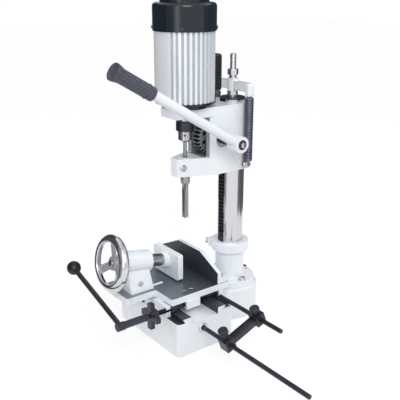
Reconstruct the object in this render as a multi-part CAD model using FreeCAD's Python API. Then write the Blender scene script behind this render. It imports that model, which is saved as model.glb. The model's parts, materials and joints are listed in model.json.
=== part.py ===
import FreeCAD
import Part
import math
import os

# Benchtop hollow-chisel mortiser, in millimetres.
# X points to the operator's right, Y back to the column and Z up.
# The origin is on the bench, under the axis of the spindle.

V = FreeCAD.Vector

# Fits and small clearances
running_gap = 0.08
sliding_gap = 0.3
seat_gap = 0.05
overrun = 2.0

# Base casting with its two slideways
base_half_width = 150.0
base_front = -135.0
base_rear = 57.0
base_height = 100.0
base_wall = 10.0
base_rib = 8.0
base_corner_radius = 12.0
pocket_depth = 9.0
way_height = 11.5
front_way_tip = -119.5
front_way_inner = -89.8
rear_way_inner = 1.3
rear_way_tip = 28.0
way_undercut = 8.5
socket_radius = 85.0
socket_height = 95.0
socket_roof = 20.0
socket_edge_radius = 5.0
neck_half_width = 76.0

# Column, its flange, collar and rack
column_y = 166.7
column_radius = 37.8
column_bore_radius = 16.0
column_top = 656.0
flange_radius = 75.0
flange_height = 18.0
flange_root_radius = 6.0
tube_radius = 43.5
tube_top = 201.0
collar_radius = 56.0
collar_height = 28.0
collar_edge_radius = 3.0
collar_ear_width = 20.0
collar_ear_reach = 9.0
collar_screw_bearing = 218.0
collar_screw_radius = 5.0
collar_screw_head_radius = 8.0
collar_screw_head_length = 9.0
flange_bolt_circle = 60.0
flange_bolt_count = 4
flange_bolt_radius = 5.0
flange_bolt_flats = 17.0
flange_bolt_head = 7.0
flange_bolt_washer_radius = 10.0
flange_bolt_washer = 2.0
flange_bolt_depth = 32.0
rack_width = 25.0
rack_back_depth = 23.2
cap_height = 4.0
cap_radius = 36.0
cap_spigot = 16.0

# Feed gear and rack: module, teeth and pressure angle
feed_module = 3.5
feed_teeth = 28
pressure_angle = math.radians(20.0)
tooth_thinning = 0.45
gear_width = 24.0
gear_hub_radius = 20.0
gear_hub_half_width = 33.6
gear_hole_count = 8
gear_hole_radius = 6.0
gear_hole_circle = 32.0
gear_axis_y = 86.5
gear_axis_z = 558.0
gear_shaft_radius = 12.0

# Spring stud and crossbar above the column
stud_radius = 8.5
stud_top = 779.0
stud_depth = 14.0
nut_flats = 27.0
lower_washer_radius = 13.0
lower_washer_height = 4.5
lower_nut_height = 12.5
crossbar_boss_radius = 15.0
crossbar_boss_height = 35.0
upper_washer_radius = 10.5
upper_washer_height = 9.0
upper_nut_height = 16.0
crossbar_depth = 18.0
crossbar_height = 24.0
crossbar_lift = 4.0
nub_inner = 66.0
nub_outer = 80.0
nub_depth = 23.0
nub_height = 36.0
nub_drop = 13.0
nub_edge_radius = 6.0

# Return springs, one on each side of the head
spring_x = 71.0
spring_mean_radius = 9.4
spring_wire = 4.4
spring_turns = 32
spring_end_arc = 4.6
spring_lug_z = 476.0
spring_lug_radius = 9.0
spring_lug_flat = 6.0
spring_lug_length = 26.0
spring_lug_flats = 19.0
spring_lug_head = 6.0
spring_lug_depth = 10.0

# Saddle that slides along X on the base
saddle_left = -140.0
saddle_right = 100.0
saddle_rear = 61.0
saddle_cover = 19.1
saddle_plate_right = 60.0
saddle_front_rail = 14.0
front_rail_right = 96.0
saddle_foot_gap = 0.4
saddle_hook_rear = 33.0
rear_arm_front = 44.5
rear_arm_lift = 2.0
gib_thickness = 4.0
gib_end_gap = 2.0
gib_screw_radius = 3.0
gib_screw_head_radius = 5.0
gib_screw_head = 4.0
gib_screw_count = 4
gib_screw_pitch = 42.0

# Table with its tongue, sliding along Y in the saddle
table_centre = -39.5
table_half_length = 139.5
table_front = -119.0
table_rear = 84.0
table_gap = 0.4
table_thickness = 19.0
table_corner_radius = 6.0
extension_half_width = 61.5
extension_front = -213.0
tongue_half_width = 72.0
tongue_undercut = 8.0
tongue_depth = 12.0

# Fence
fence_front = 41.0
fence_thickness = 12.0
fence_side_height = 33.0
fence_height = 73.5
fence_end_inset = 1.5
fence_top_half_length = 53.0
fence_foot_height = 8.0
fence_rib_thickness = 9.0
fence_rib_height = 46.0
fence_rib_offset = 60.0
fence_bolt_y = 70.0
fence_bolt_inset = 26.0
fence_bolt_flats = 15.0
fence_bolt_head = 6.0
fence_bolt_radius = 4.0
fence_bolt_washer_radius = 9.5
fence_bolt_washer = 1.6
fence_bolt_depth = 14.0

# Cross feed: one axis carries the hollow screw and the rack pinion's shaft
feed_x = 90.0
feed_lift = 8.0
feed_shaft_radius = 4.0
feed_shaft_front = -286.0
feed_screw_radius = 7.0
feed_screw_rear = 4.0
nut_block_half_length = 23.5
nut_block_centre_y = -48.5
nut_block_left = 70.0
nut_block_right = 103.0
nut_block_height = 24.0
nut_screw_x = 76.0
nut_screw_offset = 12.0
nut_screw_radius = 3.0
nut_screw_head_radius = 5.5
nut_screw_head = 6.0
nut_screw_sink = 8.0
nut_screw_depth = 16.0
star_front = -187.0
star_thickness = 12.0
star_reach = 38.0
star_arm_width = 19.0
star_hub_radius = 16.0
star_hub_rear = -165.0
star_tip_radius = 4.0
bearing_radius = 14.5
bearing_ring = 16.0
bearing_neck_radius = 10.0
bearing_rear = -84.0
bearing_lobe_radius = 3.5
bearing_lobe_count = 8
pinion_module = 1.0
pinion_teeth = 18
pinion_thinning = 0.2
pinion_width = 8.0
pinion_centre_y = 38.5
table_rack_width = 9.0
table_rack_left = -12.0
table_rack_right = 146.0
sleeve_radius = 10.0
sleeve_front = -287.0
sleeve_rear = -194.0
elbow_radius = 11.5
lever_rod_radius = 7.0
lever_rod_reach = 262.0
lever_rod_angle = math.radians(163.6)
lever_rod_y = -275.0
lever_ball_radius = 20.0

# Stop rods and the bar that ties them
stop_rod_radius = 6.25
base_rod_y = -54.0
base_rod_drop = 30.0
base_rod_end = 552.0
base_rod_depth = 12.0
base_boss_radius = 11.5
base_boss_height = 5.0
saddle_rod_y = 50.0
saddle_rod_lift = 10.0
saddle_rod_end = 350.0
saddle_rod_depth = 7.0
stop_bar_x = 257.0
stop_block_half_width = 16.0
stop_block_half_height = 16.5
stop_block_reach = 15.0
stop_bar_half_width = 12.0
stop_bar_half_height = 8.0
stop_bar_trough = 3.0
stop_bar_rim = 3.5
thumb_radius = 13.5
thumb_height = 13.0
thumb_near_lift = 19.0
thumb_far_lift = 7.0
thumb_neck_radius = 7.5
thumb_screw_radius = 4.0
thumb_edge = 1.5
thumb_groove_count = 20
thumb_groove_radius = 1.1

# Vise on the table's extension. Its axis drops towards the fence by the tilt
vise_x = -40.0
vise_height = 63.5
vise_tilt = 11.0
barrel_radius = 33.0
barrel_front = -193.0
barrel_rear = -103.0
barrel_edge_radius = 6.0
barrel_front_wall = 8.0
foot_half_width = 49.0
foot_front = -190.0
foot_rear = -116.0
foot_height = 6.0
pedestal_half_width = 26.0
pedestal_height = 61.0
pedestal_edge_radius = 5.0
ram_radius = 18.0
ram_rear = -153.0
ram_bore_end = -70.0
ram_end = -37.0
jaw_front = -42.0
jaw_thickness = 17.0
jaw_half_width = 62.0
jaw_lift = 4.5
jaw_height = 76.5
jaw_corner_radius = 5.0
jaw_boss_front = -58.0
jaw_boss_radius = 27.0
jaw_boss_tip_radius = 22.0
vise_screw_radius = 7.8
vise_screw_rear = -110.0
screw_shoulder_radius = 13.0
screw_journal_radius = 7.0
wheel_rim_y = -223.0
wheel_hub_y = -211.7
wheel_radius = 80.0
wheel_section_radius = 8.5
wheel_hub_radius = 17.0
wheel_hub_half_length = 11.0
wheel_spoke_count = 3
wheel_spoke_angle = math.radians(80.0)
wheel_spoke_radius = 6.5
wheel_spoke_tip_radius = 5.0
wheel_spoke_start = 12.0
wheel_nut_radius = 10.0
wheel_nut_height = 6.0
lock_bolt_y = -157.0
lock_bolt_height = 23.0
lock_bolt_radius = 4.0
lock_bolt_head_radius = 7.0
lock_bolt_head = 7.0
lock_bolt_seat = 2.0
lock_bolt_depth = 18.0
stop_pin_x = 0.0
stop_pin_height = 4.5
stop_pin_radius = 3.0
stop_pin_front = -82.0
stop_pin_depth = 6.0

# Head casting
head_bottom = 461.0
head_top = 650.0
head_half_width = 57.0
head_shoulder_y = 66.0
head_flat_rear = 180.0
arm_top = 511.0
arm_front = -38.0
arm_tip_half_width = 15.0
throat_top = 624.0
throat_rear = 47.0
platform_front = -54.0
platform_half_width = 35.0
gear_room_half_width = 34.0
gear_room_front = 36.0
gear_room_gap = 2.2
shaft_hole_radius = 22.0
bush_recess = 7.0
slit_width = 2.0
clamp_bolt_y = -22.0
clamp_bolt_z = 486.0
clamp_bolt_radius = 4.0
clamp_bolt_flats = 13.0
clamp_bolt_head = 6.0
clamp_bolt_washer_radius = 8.5
clamp_bolt_washer = 1.6
clamp_seat_x = 20.0
clamp_seat_radius = 10.0
clamp_bolt_end = -14.0

# Feed lever
hub_radius = 22.0
hub_inner_end = 100.0
hub_outer_end = 138.0
hub_recess = 6.0
shaft_left_end = -66.0
shaft_collar_radius = 16.0
lever_plane_x = 118.0
lever_angle = math.radians(30.6)
lever_radius = 13.0
lever_length = 444.0
grip_start = 308.0
grip_end = 463.0
grip_radius = 18.0
grip_flange_radius = 22.0
grip_flange = 7.0
grip_flare = 22.0
grip_dish = 5.0
grip_rim = 2.5
grip_collar_inset = 22.0

# Hollow chisel and its auger bit
chisel_shank_radius = 9.5
chisel_shank_top = 508.0
chisel_collar_radius = 13.0
chisel_collar_bottom = 438.0
chisel_cone_bottom = 426.0
chisel_side = 12.7
chisel_tip = 333.0
chisel_bore_radius = 5.5
chisel_slot_width = 5.0
chisel_slot_bottom = 352.0
chisel_slot_top = 410.0
bit_radius = 4.9
bit_top = 590.0
bit_point = 3.0
bit_cut_height = 6.0

# Chuck and motor
chuck_sleeve_radius = 24.5
chuck_sleeve_bottom = 584.0
chuck_sleeve_top = 612.0
chuck_body_radius = 18.5
chuck_body_bottom = 560.0
chuck_nose_bottom = 553.0
chuck_nose_radius = 9.0
chuck_top = 617.0
chuck_notch_count = 16
chuck_notch_radius = 1.8
chuck_chamfer = 2.0
shaft_radius = 8.0
shaft_bottom = 597.0
rotor_radius = 42.0
rotor_bottom = 700.0
rotor_top = 790.0
motor_radius = 80.0
motor_fin_depth = 5.0
motor_neck_radius = 62.0
motor_bell_height = 6.0
motor_bell_top = 668.0
motor_frame_top = 848.0
motor_spigot_top = 863.0
motor_cavity_radius = 58.0
motor_wall = 10.0
motor_fin_count = 36
motor_fin_share = 0.5
motor_pad_start = -125.0
motor_pad_end = -60.0
motor_box_pad_start = 68.0
motor_box_pad_end = 112.0
cover_radius = 83.5
cover_wall = 3.3
cover_shoulder = 918.0
cover_shoulder_radius = 10.0
cover_dome_radius = 64.0
cover_dome_top = 950.0
cover_dome_edge = 12.0
cover_screw_height = 856.0
cover_screw_count = 4
cover_screw_bearing = -40.0
cover_screw_radius = 2.5
cover_screw_head_radius = 4.5
cover_screw_head = 2.5
cover_screw_depth = 9.0
box_half_width = 27.0
box_rear = 104.0
box_bottom = 686.0
box_top = 784.0
box_edge_radius = 8.0
box_gap = 0.1
conduit_radius = 9.0
conduit_y = 94.0

# Places that follow from the sizes above
pocket_floor = base_height - pocket_depth
way_top = base_height + way_height
saddle_top = way_top + saddle_cover
rear_arm_bottom = base_height + rear_arm_lift
table_bottom = saddle_top + table_gap
table_top = table_bottom + table_thickness
fence_half_length = table_half_length - fence_end_inset
feed_z = way_top + feed_lift
nut_block_bottom = table_bottom - nut_block_height
base_rod_z = base_height - base_rod_drop
saddle_rod_z = base_height + saddle_rod_lift
vise_z = table_top + vise_height
pedestal_top = table_top + pedestal_height
jaw_bottom = table_top + jaw_lift
jaw_top = jaw_bottom + jaw_height
lock_bolt_z = table_top + lock_bolt_height
stop_pin_z = table_top + stop_pin_height
flange_top = socket_height + flange_height
collar_top = tube_top + collar_height
cap_top = column_top + cap_height
feed_pitch_radius = feed_module * feed_teeth / 2
rack_pitch_y = gear_axis_y + feed_pitch_radius
rack_back_y = column_y - rack_back_depth
pinion_pitch_radius = pinion_module * pinion_teeth / 2
rack_pitch_z = feed_z - pinion_pitch_radius
lower_washer_top = cap_top + lower_washer_height
crossbar_boss_bottom = lower_washer_top + lower_nut_height
crossbar_bottom = crossbar_boss_bottom + crossbar_lift
nub_bottom = crossbar_bottom - nub_drop
crossbar_boss_top = crossbar_boss_bottom + crossbar_boss_height
upper_nut_bottom = crossbar_boss_top + upper_washer_height
spring_bottom = spring_lug_z + spring_lug_flat
tongue_bottom = table_bottom - tongue_depth
way_slope = way_undercut / (way_top - base_height)
lean_gap = sliding_gap * math.hypot(1, way_slope)
saddle_bottom = base_height + saddle_foot_gap
front_rail_inner = base_front + saddle_front_rail
nut_bore_radius = feed_screw_radius + sliding_gap
bar_tilt = math.atan2(saddle_rod_z - base_rod_z, saddle_rod_y - base_rod_y)
bar_length = math.hypot(saddle_rod_z - base_rod_z, saddle_rod_y - base_rod_y)
fence_bolt_places = [
    table_centre - fence_half_length + fence_bolt_inset,
    table_centre + fence_half_length - fence_bolt_inset,
]

DIRECTION = {"x": V(1, 0, 0), "y": V(0, 1, 0), "z": V(0, 0, 1)}


def point(axis, along, u, v):
    """A place given by its distance along an axis and the two other coordinates."""
    return {"x": V(along, u, v), "y": V(u, along, v), "z": V(u, v, along)}[axis]


def block(x0, x1, y0, y1, z0, z1):
    return Part.makeBox(x1 - x0, y1 - y0, z1 - z0, V(x0, y0, z0))


def rod(axis, low, high, radius, u, v):
    return Part.makeCylinder(radius, high - low, point(axis, low, u, v), DIRECTION[axis])


def cone(axis, low, high, low_radius, high_radius, u, v):
    start = point(axis, low, u, v)
    return Part.makeCone(low_radius, high_radius, high - low, start, DIRECTION[axis])


def ring(axis, low, high, outer, inner, u, v):
    hole = rod(axis, low - overrun, high + overrun, inner, u, v)
    return rod(axis, low, high, outer, u, v).cut(hole)


def prism(axis, low, high, outline):
    corners = [point(axis, low, u, v) for u, v in outline]
    face = Part.Face(Part.makePolygon(corners + corners[:1]))
    return face.extrude(DIRECTION[axis] * (high - low))


def hexagon(axis, low, high, flats, u, v):
    reach = flats / math.sqrt(3)
    turns = [math.radians(60 * k) for k in range(6)]
    return prism(axis, low, high, [(u + reach * math.cos(t), v + reach * math.sin(t)) for t in turns])


def turned(profile, x, y):
    """A solid of revolution about the vertical through x, y from (radius, height) points."""
    corners = [V(x + r, y, z) for r, z in profile]
    face = Part.Face(Part.makePolygon(corners + corners[:1]))
    return face.revolve(V(x, y, 0), V(0, 0, 1), 360)


def fuse(*shapes):
    return shapes[0].multiFuse(list(shapes[1:])).removeSplitter()


def cut(body, *tools):
    for tool in tools:
        body = body.cut(tool)
    return body


def mirrored(shape):
    return shape.mirror(V(0, 0, 0), V(1, 0, 0))


def rounded(shape, radius, wanted):
    """Rounds the edges for which wanted(edge) is true."""
    edges = [edge for edge in shape.Edges if wanted(edge)]
    return shape.makeFillet(radius, edges)


def runs_along(edge, axis):
    box = edge.BoundBox
    spans = {"x": box.XLength, "y": box.YLength, "z": box.ZLength}
    along = spans.pop(axis)
    return along > overrun and max(spans.values()) < seat_gap


def at_height(edge, z):
    return abs(edge.BoundBox.ZMin - z) < seat_gap and abs(edge.BoundBox.ZMax - z) < seat_gap


def save(name, *solids):
    shape = solids[0] if len(solids) == 1 else Part.makeCompound(list(solids))
    shape.exportStep("parts/" + name + ".step")
    print(name, "solids", len(shape.Solids), "valid", shape.isValid(), "volume", round(shape.Volume))


# Gear teeth

def involute_point(base_radius, radius):
    """Polar angle of an involute that starts on the base circle, at a radius."""
    roll = math.sqrt(max(0, (radius / base_radius) ** 2 - 1))
    return roll - math.atan(roll)


def gear_outline(module, teeth, thinning, first_tooth):
    """Corners of a spur gear with involute flanks, one tooth centred on first_tooth."""
    pitch = module * teeth / 2
    base = pitch * math.cos(pressure_angle)
    root = pitch - module * 1.2
    tip = pitch + module * 0.95
    half = (math.pi * module / 2 - thinning) / (2 * pitch) + involute_point(base, pitch)
    flank = [max(base, root) + (tip - max(base, root)) * share for share in (0, 0.3, 0.65, 1)]
    side = [(r, half - involute_point(base, r)) for r in flank]
    if root < base:
        side.insert(0, (root, half))
    corners = []
    for k in range(teeth):
        middle = first_tooth + 2 * math.pi * k / teeth
        corners += [(r, middle - a) for r, a in side]
        corners += [(r, middle + a) for r, a in reversed(side)]
    return [(r * math.cos(a), r * math.sin(a)) for r, a in corners]


def rack_outline(module, thinning, low, high, gap_at):
    """Corners (along, outward) of rack teeth about the pitch line, a gap centred on gap_at."""
    pitch = math.pi * module
    tip = module * 0.9
    root = -module * 1.2
    lean = math.tan(pressure_angle)
    half = (pitch / 2 - thinning) / 2
    corners = [(low, root)]
    first = math.ceil((low - gap_at + half + pitch) / pitch)
    last = math.floor((high - gap_at - half - pitch) / pitch)
    for k in range(first, last + 1):
        middle = gap_at + (k + 0.5) * pitch
        foot = half - root * lean
        crest = half - tip * lean
        corners += [(middle - foot, root), (middle - crest, tip), (middle + crest, tip), (middle + foot, root)]
    return corners + [(high, root)]


# Base and column

def base_casting():
    body = block(-base_half_width, base_half_width, base_front, base_rear, 0, base_height)
    body = rounded(body, base_corner_radius, lambda e: runs_along(e, "z"))
    socket = rod("z", 0, socket_height, socket_radius, 0, column_y)
    socket = rounded(socket, socket_edge_radius, lambda e: at_height(e, socket_height))
    neck = block(-neck_half_width, neck_half_width, base_rear - base_wall, column_y, 0, socket_height - socket_edge_radius)
    front_way = prism("x", -base_half_width, base_half_width, [
        (front_way_tip + way_undercut, base_height - base_wall), (front_way_tip + way_undercut, base_height),
        (front_way_tip, way_top), (front_way_inner, way_top), (front_way_inner, base_height - base_wall)])
    rear_way = prism("x", -base_half_width, base_half_width, [
        (rear_way_inner, base_height - base_wall), (rear_way_inner, way_top), (rear_way_tip, way_top),
        (rear_way_tip - way_undercut, base_height), (rear_way_tip - way_undercut, base_height - base_wall)])
    boss = rod("x", base_half_width - base_wall, base_half_width + base_boss_height,
               base_boss_radius, base_rod_y, base_rod_z)
    body = fuse(body, socket, neck, front_way, rear_way, boss)
    pocket = block(-base_half_width - overrun, base_half_width + overrun,
                   front_way_inner, rear_way_inner, pocket_floor, way_top + overrun)
    inside = base_half_width - base_wall
    roof = pocket_floor - base_wall
    front_hollow = block(-inside, inside, base_front + base_wall, -base_rib / 2, -overrun, roof)
    rear_hollow = block(-inside, inside, base_rib / 2, base_rear - base_wall, -overrun, roof)
    rod_pad = rod("x", inside - base_rod_depth, inside + base_wall / 2,
                  base_boss_radius, base_rod_y, base_rod_z)
    well = rod("z", -overrun, socket_height - socket_roof, socket_radius - base_wall, 0, column_y)
    rod_hole = rod("x", base_half_width + base_boss_height - base_rod_depth, base_half_width + base_boss_height + overrun,
                   stop_rod_radius + seat_gap, base_rod_y, base_rod_z)
    body = cut(body, pocket, front_hollow, rear_hollow)
    body = fuse(body, rod_pad)
    return cut(body, well, rod_hole, *bolt_circle_holes(socket_height - flange_bolt_depth, socket_height + overrun))


def bolt_circle_places():
    turns = [2 * math.pi * k / flange_bolt_count for k in range(flange_bolt_count)]
    return [(flange_bolt_circle * math.cos(t), column_y + flange_bolt_circle * math.sin(t)) for t in turns]


def bolt_circle_holes(low, high):
    hole = flange_bolt_radius + running_gap
    return [rod("z", low, high, hole, x, y) for x, y in bolt_circle_places()]


def column_flange():
    plate = rod("z", socket_height, flange_top, flange_radius, 0, column_y)
    tube = rod("z", socket_height, tube_top, tube_radius, 0, column_y)
    body = plate.fuse(tube)

    def root(edge):
        return at_height(edge, flange_top) and edge.BoundBox.XMax < tube_radius + overrun

    body = rounded(body, flange_root_radius, root)
    bore = rod("z", socket_height - overrun, tube_top + overrun, column_radius + seat_gap, 0, column_y)
    return cut(body, bore, *bolt_circle_holes(socket_height - overrun, flange_top + overrun))


def flange_bolt(x, y):
    washer_top = flange_top + flange_bolt_washer
    washer = rod("z", flange_top, washer_top, flange_bolt_washer_radius, x, y)
    head = hexagon("z", washer_top, washer_top + flange_bolt_head, flange_bolt_flats, x, y)
    shank = rod("z", flange_top - flange_bolt_depth, washer_top, flange_bolt_radius, x, y)
    return fuse(washer, head, shank)


def collar_turn(shape):
    """Turns a shape from +X to the side where the collar's ear is."""
    turned_shape = shape.copy()
    turned_shape.rotate(V(0, column_y, 0), V(0, 0, 1), collar_screw_bearing)
    return turned_shape


def column_collar():
    body = rod("z", tube_top, collar_top, collar_radius, 0, column_y)
    body = rounded(body, collar_edge_radius, lambda e: at_height(e, collar_top))
    ear = block(column_radius, collar_radius + collar_ear_reach, column_y - collar_ear_width / 2,
                column_y + collar_ear_width / 2, tube_top, collar_top - collar_edge_radius)
    middle = (tube_top + collar_top) / 2
    hole = rod("x", 0, collar_radius + collar_ear_reach + overrun, collar_screw_radius + seat_gap, column_y, middle)
    body = fuse(body, collar_turn(ear))
    bore = rod("z", tube_top - overrun, collar_top + overrun, column_radius + seat_gap, 0, column_y)
    return cut(body, bore, collar_turn(hole))


def collar_screw():
    middle = (tube_top + collar_top) / 2
    seat = collar_radius + collar_ear_reach
    shank = rod("x", column_radius + seat_gap, seat, collar_screw_radius, column_y, middle)
    head = rod("x", seat, seat + collar_screw_head_length, collar_screw_head_radius, column_y, middle)
    return collar_turn(fuse(shank, head))


def column_tube():
    body = ring("z", socket_height, column_top, column_radius, column_bore_radius, 0, column_y)
    half = rack_width / 2 + seat_gap
    slot = block(-half, half, column_y - column_radius - overrun, rack_back_y,
                 collar_top, column_top + overrun)
    return body.cut(slot)


def column_rack():
    teeth = rack_outline(feed_module, tooth_thinning, collar_top, column_top, gear_axis_z)
    outline = [(rack_pitch_y - out, z) for z, out in teeth]
    outline += [(rack_back_y, column_top), (rack_back_y, collar_top)]
    return prism("x", -rack_width / 2, rack_width / 2, outline)


def column_cap():
    disc = rod("z", column_top, cap_top, cap_radius, 0, column_y)
    spigot = rod("z", column_top - cap_spigot, column_top, column_bore_radius - seat_gap, 0, column_y)
    hole = rod("z", column_top - stud_depth, cap_top + overrun, stud_radius + seat_gap, 0, column_y)
    return fuse(disc, spigot).cut(hole)


def spring_stud():
    body = rod("z", column_top - stud_depth, stud_top, stud_radius, 0, column_y)
    return body.makeChamfer(stud_radius / 6, [e for e in body.Edges if at_height(e, stud_top)])


def stud_nuts():
    bore = rod("z", cap_top - overrun, stud_top, stud_radius + seat_gap, 0, column_y)
    lower_washer = rod("z", cap_top, lower_washer_top, lower_washer_radius, 0, column_y)
    lower_nut = hexagon("z", lower_washer_top, crossbar_boss_bottom, nut_flats, 0, column_y)
    upper_washer = rod("z", crossbar_boss_top, upper_nut_bottom, upper_washer_radius, 0, column_y)
    upper_nut = hexagon("z", upper_nut_bottom, upper_nut_bottom + upper_nut_height, nut_flats, 0, column_y)
    return [piece.cut(bore) for piece in (lower_washer, lower_nut, upper_washer, upper_nut)]


def crossbar_nub():
    """The rounded end that keeps a spring's hook on the bar."""
    half = nub_depth / 2
    body = block(nub_inner, nub_outer, column_y - half, column_y + half, nub_bottom, nub_bottom + nub_height)
    return rounded(body, nub_edge_radius, lambda e: e.BoundBox.XMin > nub_inner + overrun or runs_along(e, "x"))


def spring_crossbar():
    half = crossbar_depth / 2
    bar = block(-nub_outer + nub_edge_radius, nub_outer - nub_edge_radius, column_y - half, column_y + half,
                crossbar_bottom, crossbar_bottom + crossbar_height)
    boss = rod("z", crossbar_boss_bottom, crossbar_boss_top, crossbar_boss_radius, 0, column_y)
    bore = rod("z", crossbar_boss_bottom - overrun, crossbar_boss_top + overrun,
               stud_radius + seat_gap, 0, column_y)
    nub = crossbar_nub()
    return fuse(bar, boss, nub, mirrored(nub)).cut(bore)


# Return springs

def arc_from(start, corner, end):
    """A circular arc from start to end whose end tangents meet at corner."""
    chord = (start + end) * 0.5
    rise = corner - chord
    half = (end - start).Length / 2
    turn = math.atan2(rise.Length, half)
    middle = chord + rise.normalize() * (half * math.tan(turn / 2))
    return Part.Arc(start, middle, end).toShape()


def biarc(p0, t0, p1, t1):
    """Two tangent arcs from p0, leaving along t0, to p1, arriving along t1."""
    v = p1 - p0
    t = t0 + t1
    a = 2 * (1 - t0.dot(t1))
    d = (-v.dot(t) + math.sqrt(v.dot(t) ** 2 + a * v.dot(v))) / a
    joint = (p0 + t0 * d + p1 - t1 * d) * 0.5
    return [arc_from(p0, p0 + t0 * d, joint), arc_from(joint, p1 - t1 * d, p1)]


def return_spring(centre_x):
    """A close-wound spring. Its wire stands on the lug and runs up behind the nub to the bar."""
    straight = spring_wire
    foot = spring_bottom + sliding_gap
    head = crossbar_bottom - sliding_gap
    low = foot + straight + spring_end_arc
    high = nub_bottom - sliding_gap - spring_wire
    pitch = (high - low) / spring_turns
    slope = math.atan2(pitch, 2 * math.pi * spring_mean_radius)
    outward = 1 if centre_x > 0 else -1

    def place(turn):
        angle = turn * outward
        return V(centre_x - outward * spring_mean_radius * math.cos(angle),
                 column_y - outward * spring_mean_radius * math.sin(angle),
                 low + pitch * turn / (2 * math.pi))

    def tangent(turn):
        angle = turn * outward
        flat = V(math.sin(angle), -math.cos(angle), 0)
        return (flat * math.cos(slope) + V(0, 0, math.sin(slope))).normalize()

    quarter = math.pi / 2
    last = 2 * math.pi * spring_turns
    up = V(0, 0, 1)
    first_point, first_way = place(0), tangent(0)
    last_point, last_way = place(last), tangent(last)
    start = first_point - first_way * spring_end_arc - up * spring_end_arc
    end = last_point + last_way * spring_end_arc + up * spring_end_arc
    foot_point = V(start.x, start.y, foot)
    head_point = V(end.x, end.y, head)
    edges = [Part.LineSegment(foot_point, start).toShape()]
    edges.append(arc_from(start, first_point - first_way * spring_end_arc, first_point))
    for k in range(4 * spring_turns):
        edges += biarc(place(k * quarter), tangent(k * quarter), place((k + 1) * quarter), tangent((k + 1) * quarter))
    edges.append(arc_from(last_point, last_point + last_way * spring_end_arc, end))
    edges.append(Part.LineSegment(end, head_point).toShape())
    profile = Part.Wire(Part.makeCircle(spring_wire / 2, foot_point, up))
    solid = Part.Wire(edges).makePipeShell([profile], True, False)
    print("spring gap between turns", round(pitch * math.cos(slope) - spring_wire, 2))
    return solid


def spring_lug_bolt():
    """A stud with a flat on top for the spring's wire and a hexagon outside."""
    seat = head_half_width
    stud = rod("x", seat - spring_lug_depth, seat + spring_lug_length, spring_lug_radius, column_y, spring_lug_z)
    flat = block(seat, seat + spring_lug_length + overrun, column_y - spring_lug_radius,
                 column_y + spring_lug_radius, spring_bottom, spring_bottom + spring_lug_radius)
    head = hexagon("x", seat + spring_lug_length, seat + spring_lug_length + spring_lug_head,
                   spring_lug_flats, column_y, spring_lug_z)
    return fuse(stud.cut(flat), head)


# Saddle

def front_flank(z):
    """Y of the front way's undercut flank at a height; the rear one mirrors it."""
    return front_way_tip + way_undercut - (z - base_height) * way_slope


def rear_flank(z):
    return rear_way_tip - way_undercut + (z - base_height) * way_slope


def saddle_casting():
    top = way_top + sliding_gap
    relief = top + saddle_foot_gap
    gib_room = lean_gap + gib_thickness + seat_gap
    section = [
        (base_front, saddle_bottom), (base_front, saddle_top), (saddle_rear, saddle_top),
        (saddle_rear, relief), (saddle_hook_rear, relief), (saddle_hook_rear, saddle_bottom),
        (rear_flank(saddle_bottom) + lean_gap, saddle_bottom), (rear_flank(top) + lean_gap, top),
        (front_flank(top) - gib_room, top), (front_flank(saddle_bottom) - gib_room, saddle_bottom)]
    body = prism("x", saddle_left, saddle_right, section)
    arm = block(saddle_plate_right - base_wall, saddle_right, rear_arm_front, saddle_rear,
                rear_arm_bottom, saddle_top)
    body = fuse(body, arm)
    room = block(saddle_plate_right, saddle_right + overrun, front_rail_inner, rear_arm_front,
                 0, saddle_top + overrun)
    rail_end = block(front_rail_right, saddle_right + overrun, base_front - overrun, front_rail_inner + overrun,
                     0, saddle_top + overrun)
    side_gap = sliding_gap * math.hypot(1, tongue_undercut / tongue_depth)
    groove = tongue_prism(base_front - overrun, saddle_rear + overrun, tongue_bottom - sliding_gap,
                          table_bottom + overrun, side_gap)
    screw_bore = rod("y", base_front - overrun, front_rail_inner + overrun,
                     feed_screw_radius + running_gap, feed_x, feed_z)
    shaft_bore = rod("y", rear_arm_front - overrun, saddle_rear + overrun,
                     feed_shaft_radius + running_gap, feed_x, feed_z)
    rod_bore = rod("x", saddle_right - saddle_rod_depth, saddle_right + overrun,
                   stop_rod_radius + seat_gap, saddle_rod_y, saddle_rod_z)
    screw_holes = [rod("y", base_front - overrun, 0, gib_screw_radius + seat_gap, x, gib_screw_height())
                   for x in gib_screw_places()]
    return cut(body, room, rail_end, groove, screw_bore, shaft_bore, rod_bore, *screw_holes)


def tongue_half(z):
    """Half-width of the table's dovetail tongue at a height."""
    return tongue_half_width + tongue_undercut * (table_bottom - z) / tongue_depth


def tongue_prism(front, rear, bottom, top, side_gap):
    low = tongue_half(bottom) + side_gap
    high = tongue_half(top) + side_gap
    return prism("y", front, rear, [
        (table_centre - low, bottom), (table_centre + low, bottom),
        (table_centre + high, top), (table_centre - high, top)])


def gib_screw_height():
    return (base_height + way_top) / 2


def gib_screw_places():
    middle = (saddle_left + saddle_plate_right) / 2
    return [middle + (k - (gib_screw_count - 1) / 2) * gib_screw_pitch for k in range(gib_screw_count)]


def saddle_gib():
    low = saddle_bottom
    inner = [(front_flank(z) - lean_gap, z) for z in (low, way_top)]
    outer = [(y - gib_thickness, z) for y, z in reversed(inner)]
    return prism("x", saddle_left + gib_end_gap, saddle_plate_right - gib_end_gap, inner + outer)


def gib_screw(x):
    height = gib_screw_height()
    tip = front_flank(height + gib_screw_radius) - lean_gap - gib_thickness
    screw = rod("y", base_front, tip, gib_screw_radius, x, height)
    head = hexagon("y", base_front - gib_screw_head, base_front, 2 * gib_screw_head_radius, x, height)
    return fuse(screw, head)


def stop_rod(start, end, y, z):
    body = rod("x", start, end, stop_rod_radius, y, z)
    tips = [e for e in body.Edges if abs(e.BoundBox.XMin - end) < seat_gap]
    return body.makeChamfer(stop_rod_radius / 6, tips)


def base_stop_rod():
    seat = base_half_width + base_boss_height
    return stop_rod(seat - base_rod_depth, base_rod_end, base_rod_y, base_rod_z)


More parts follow.
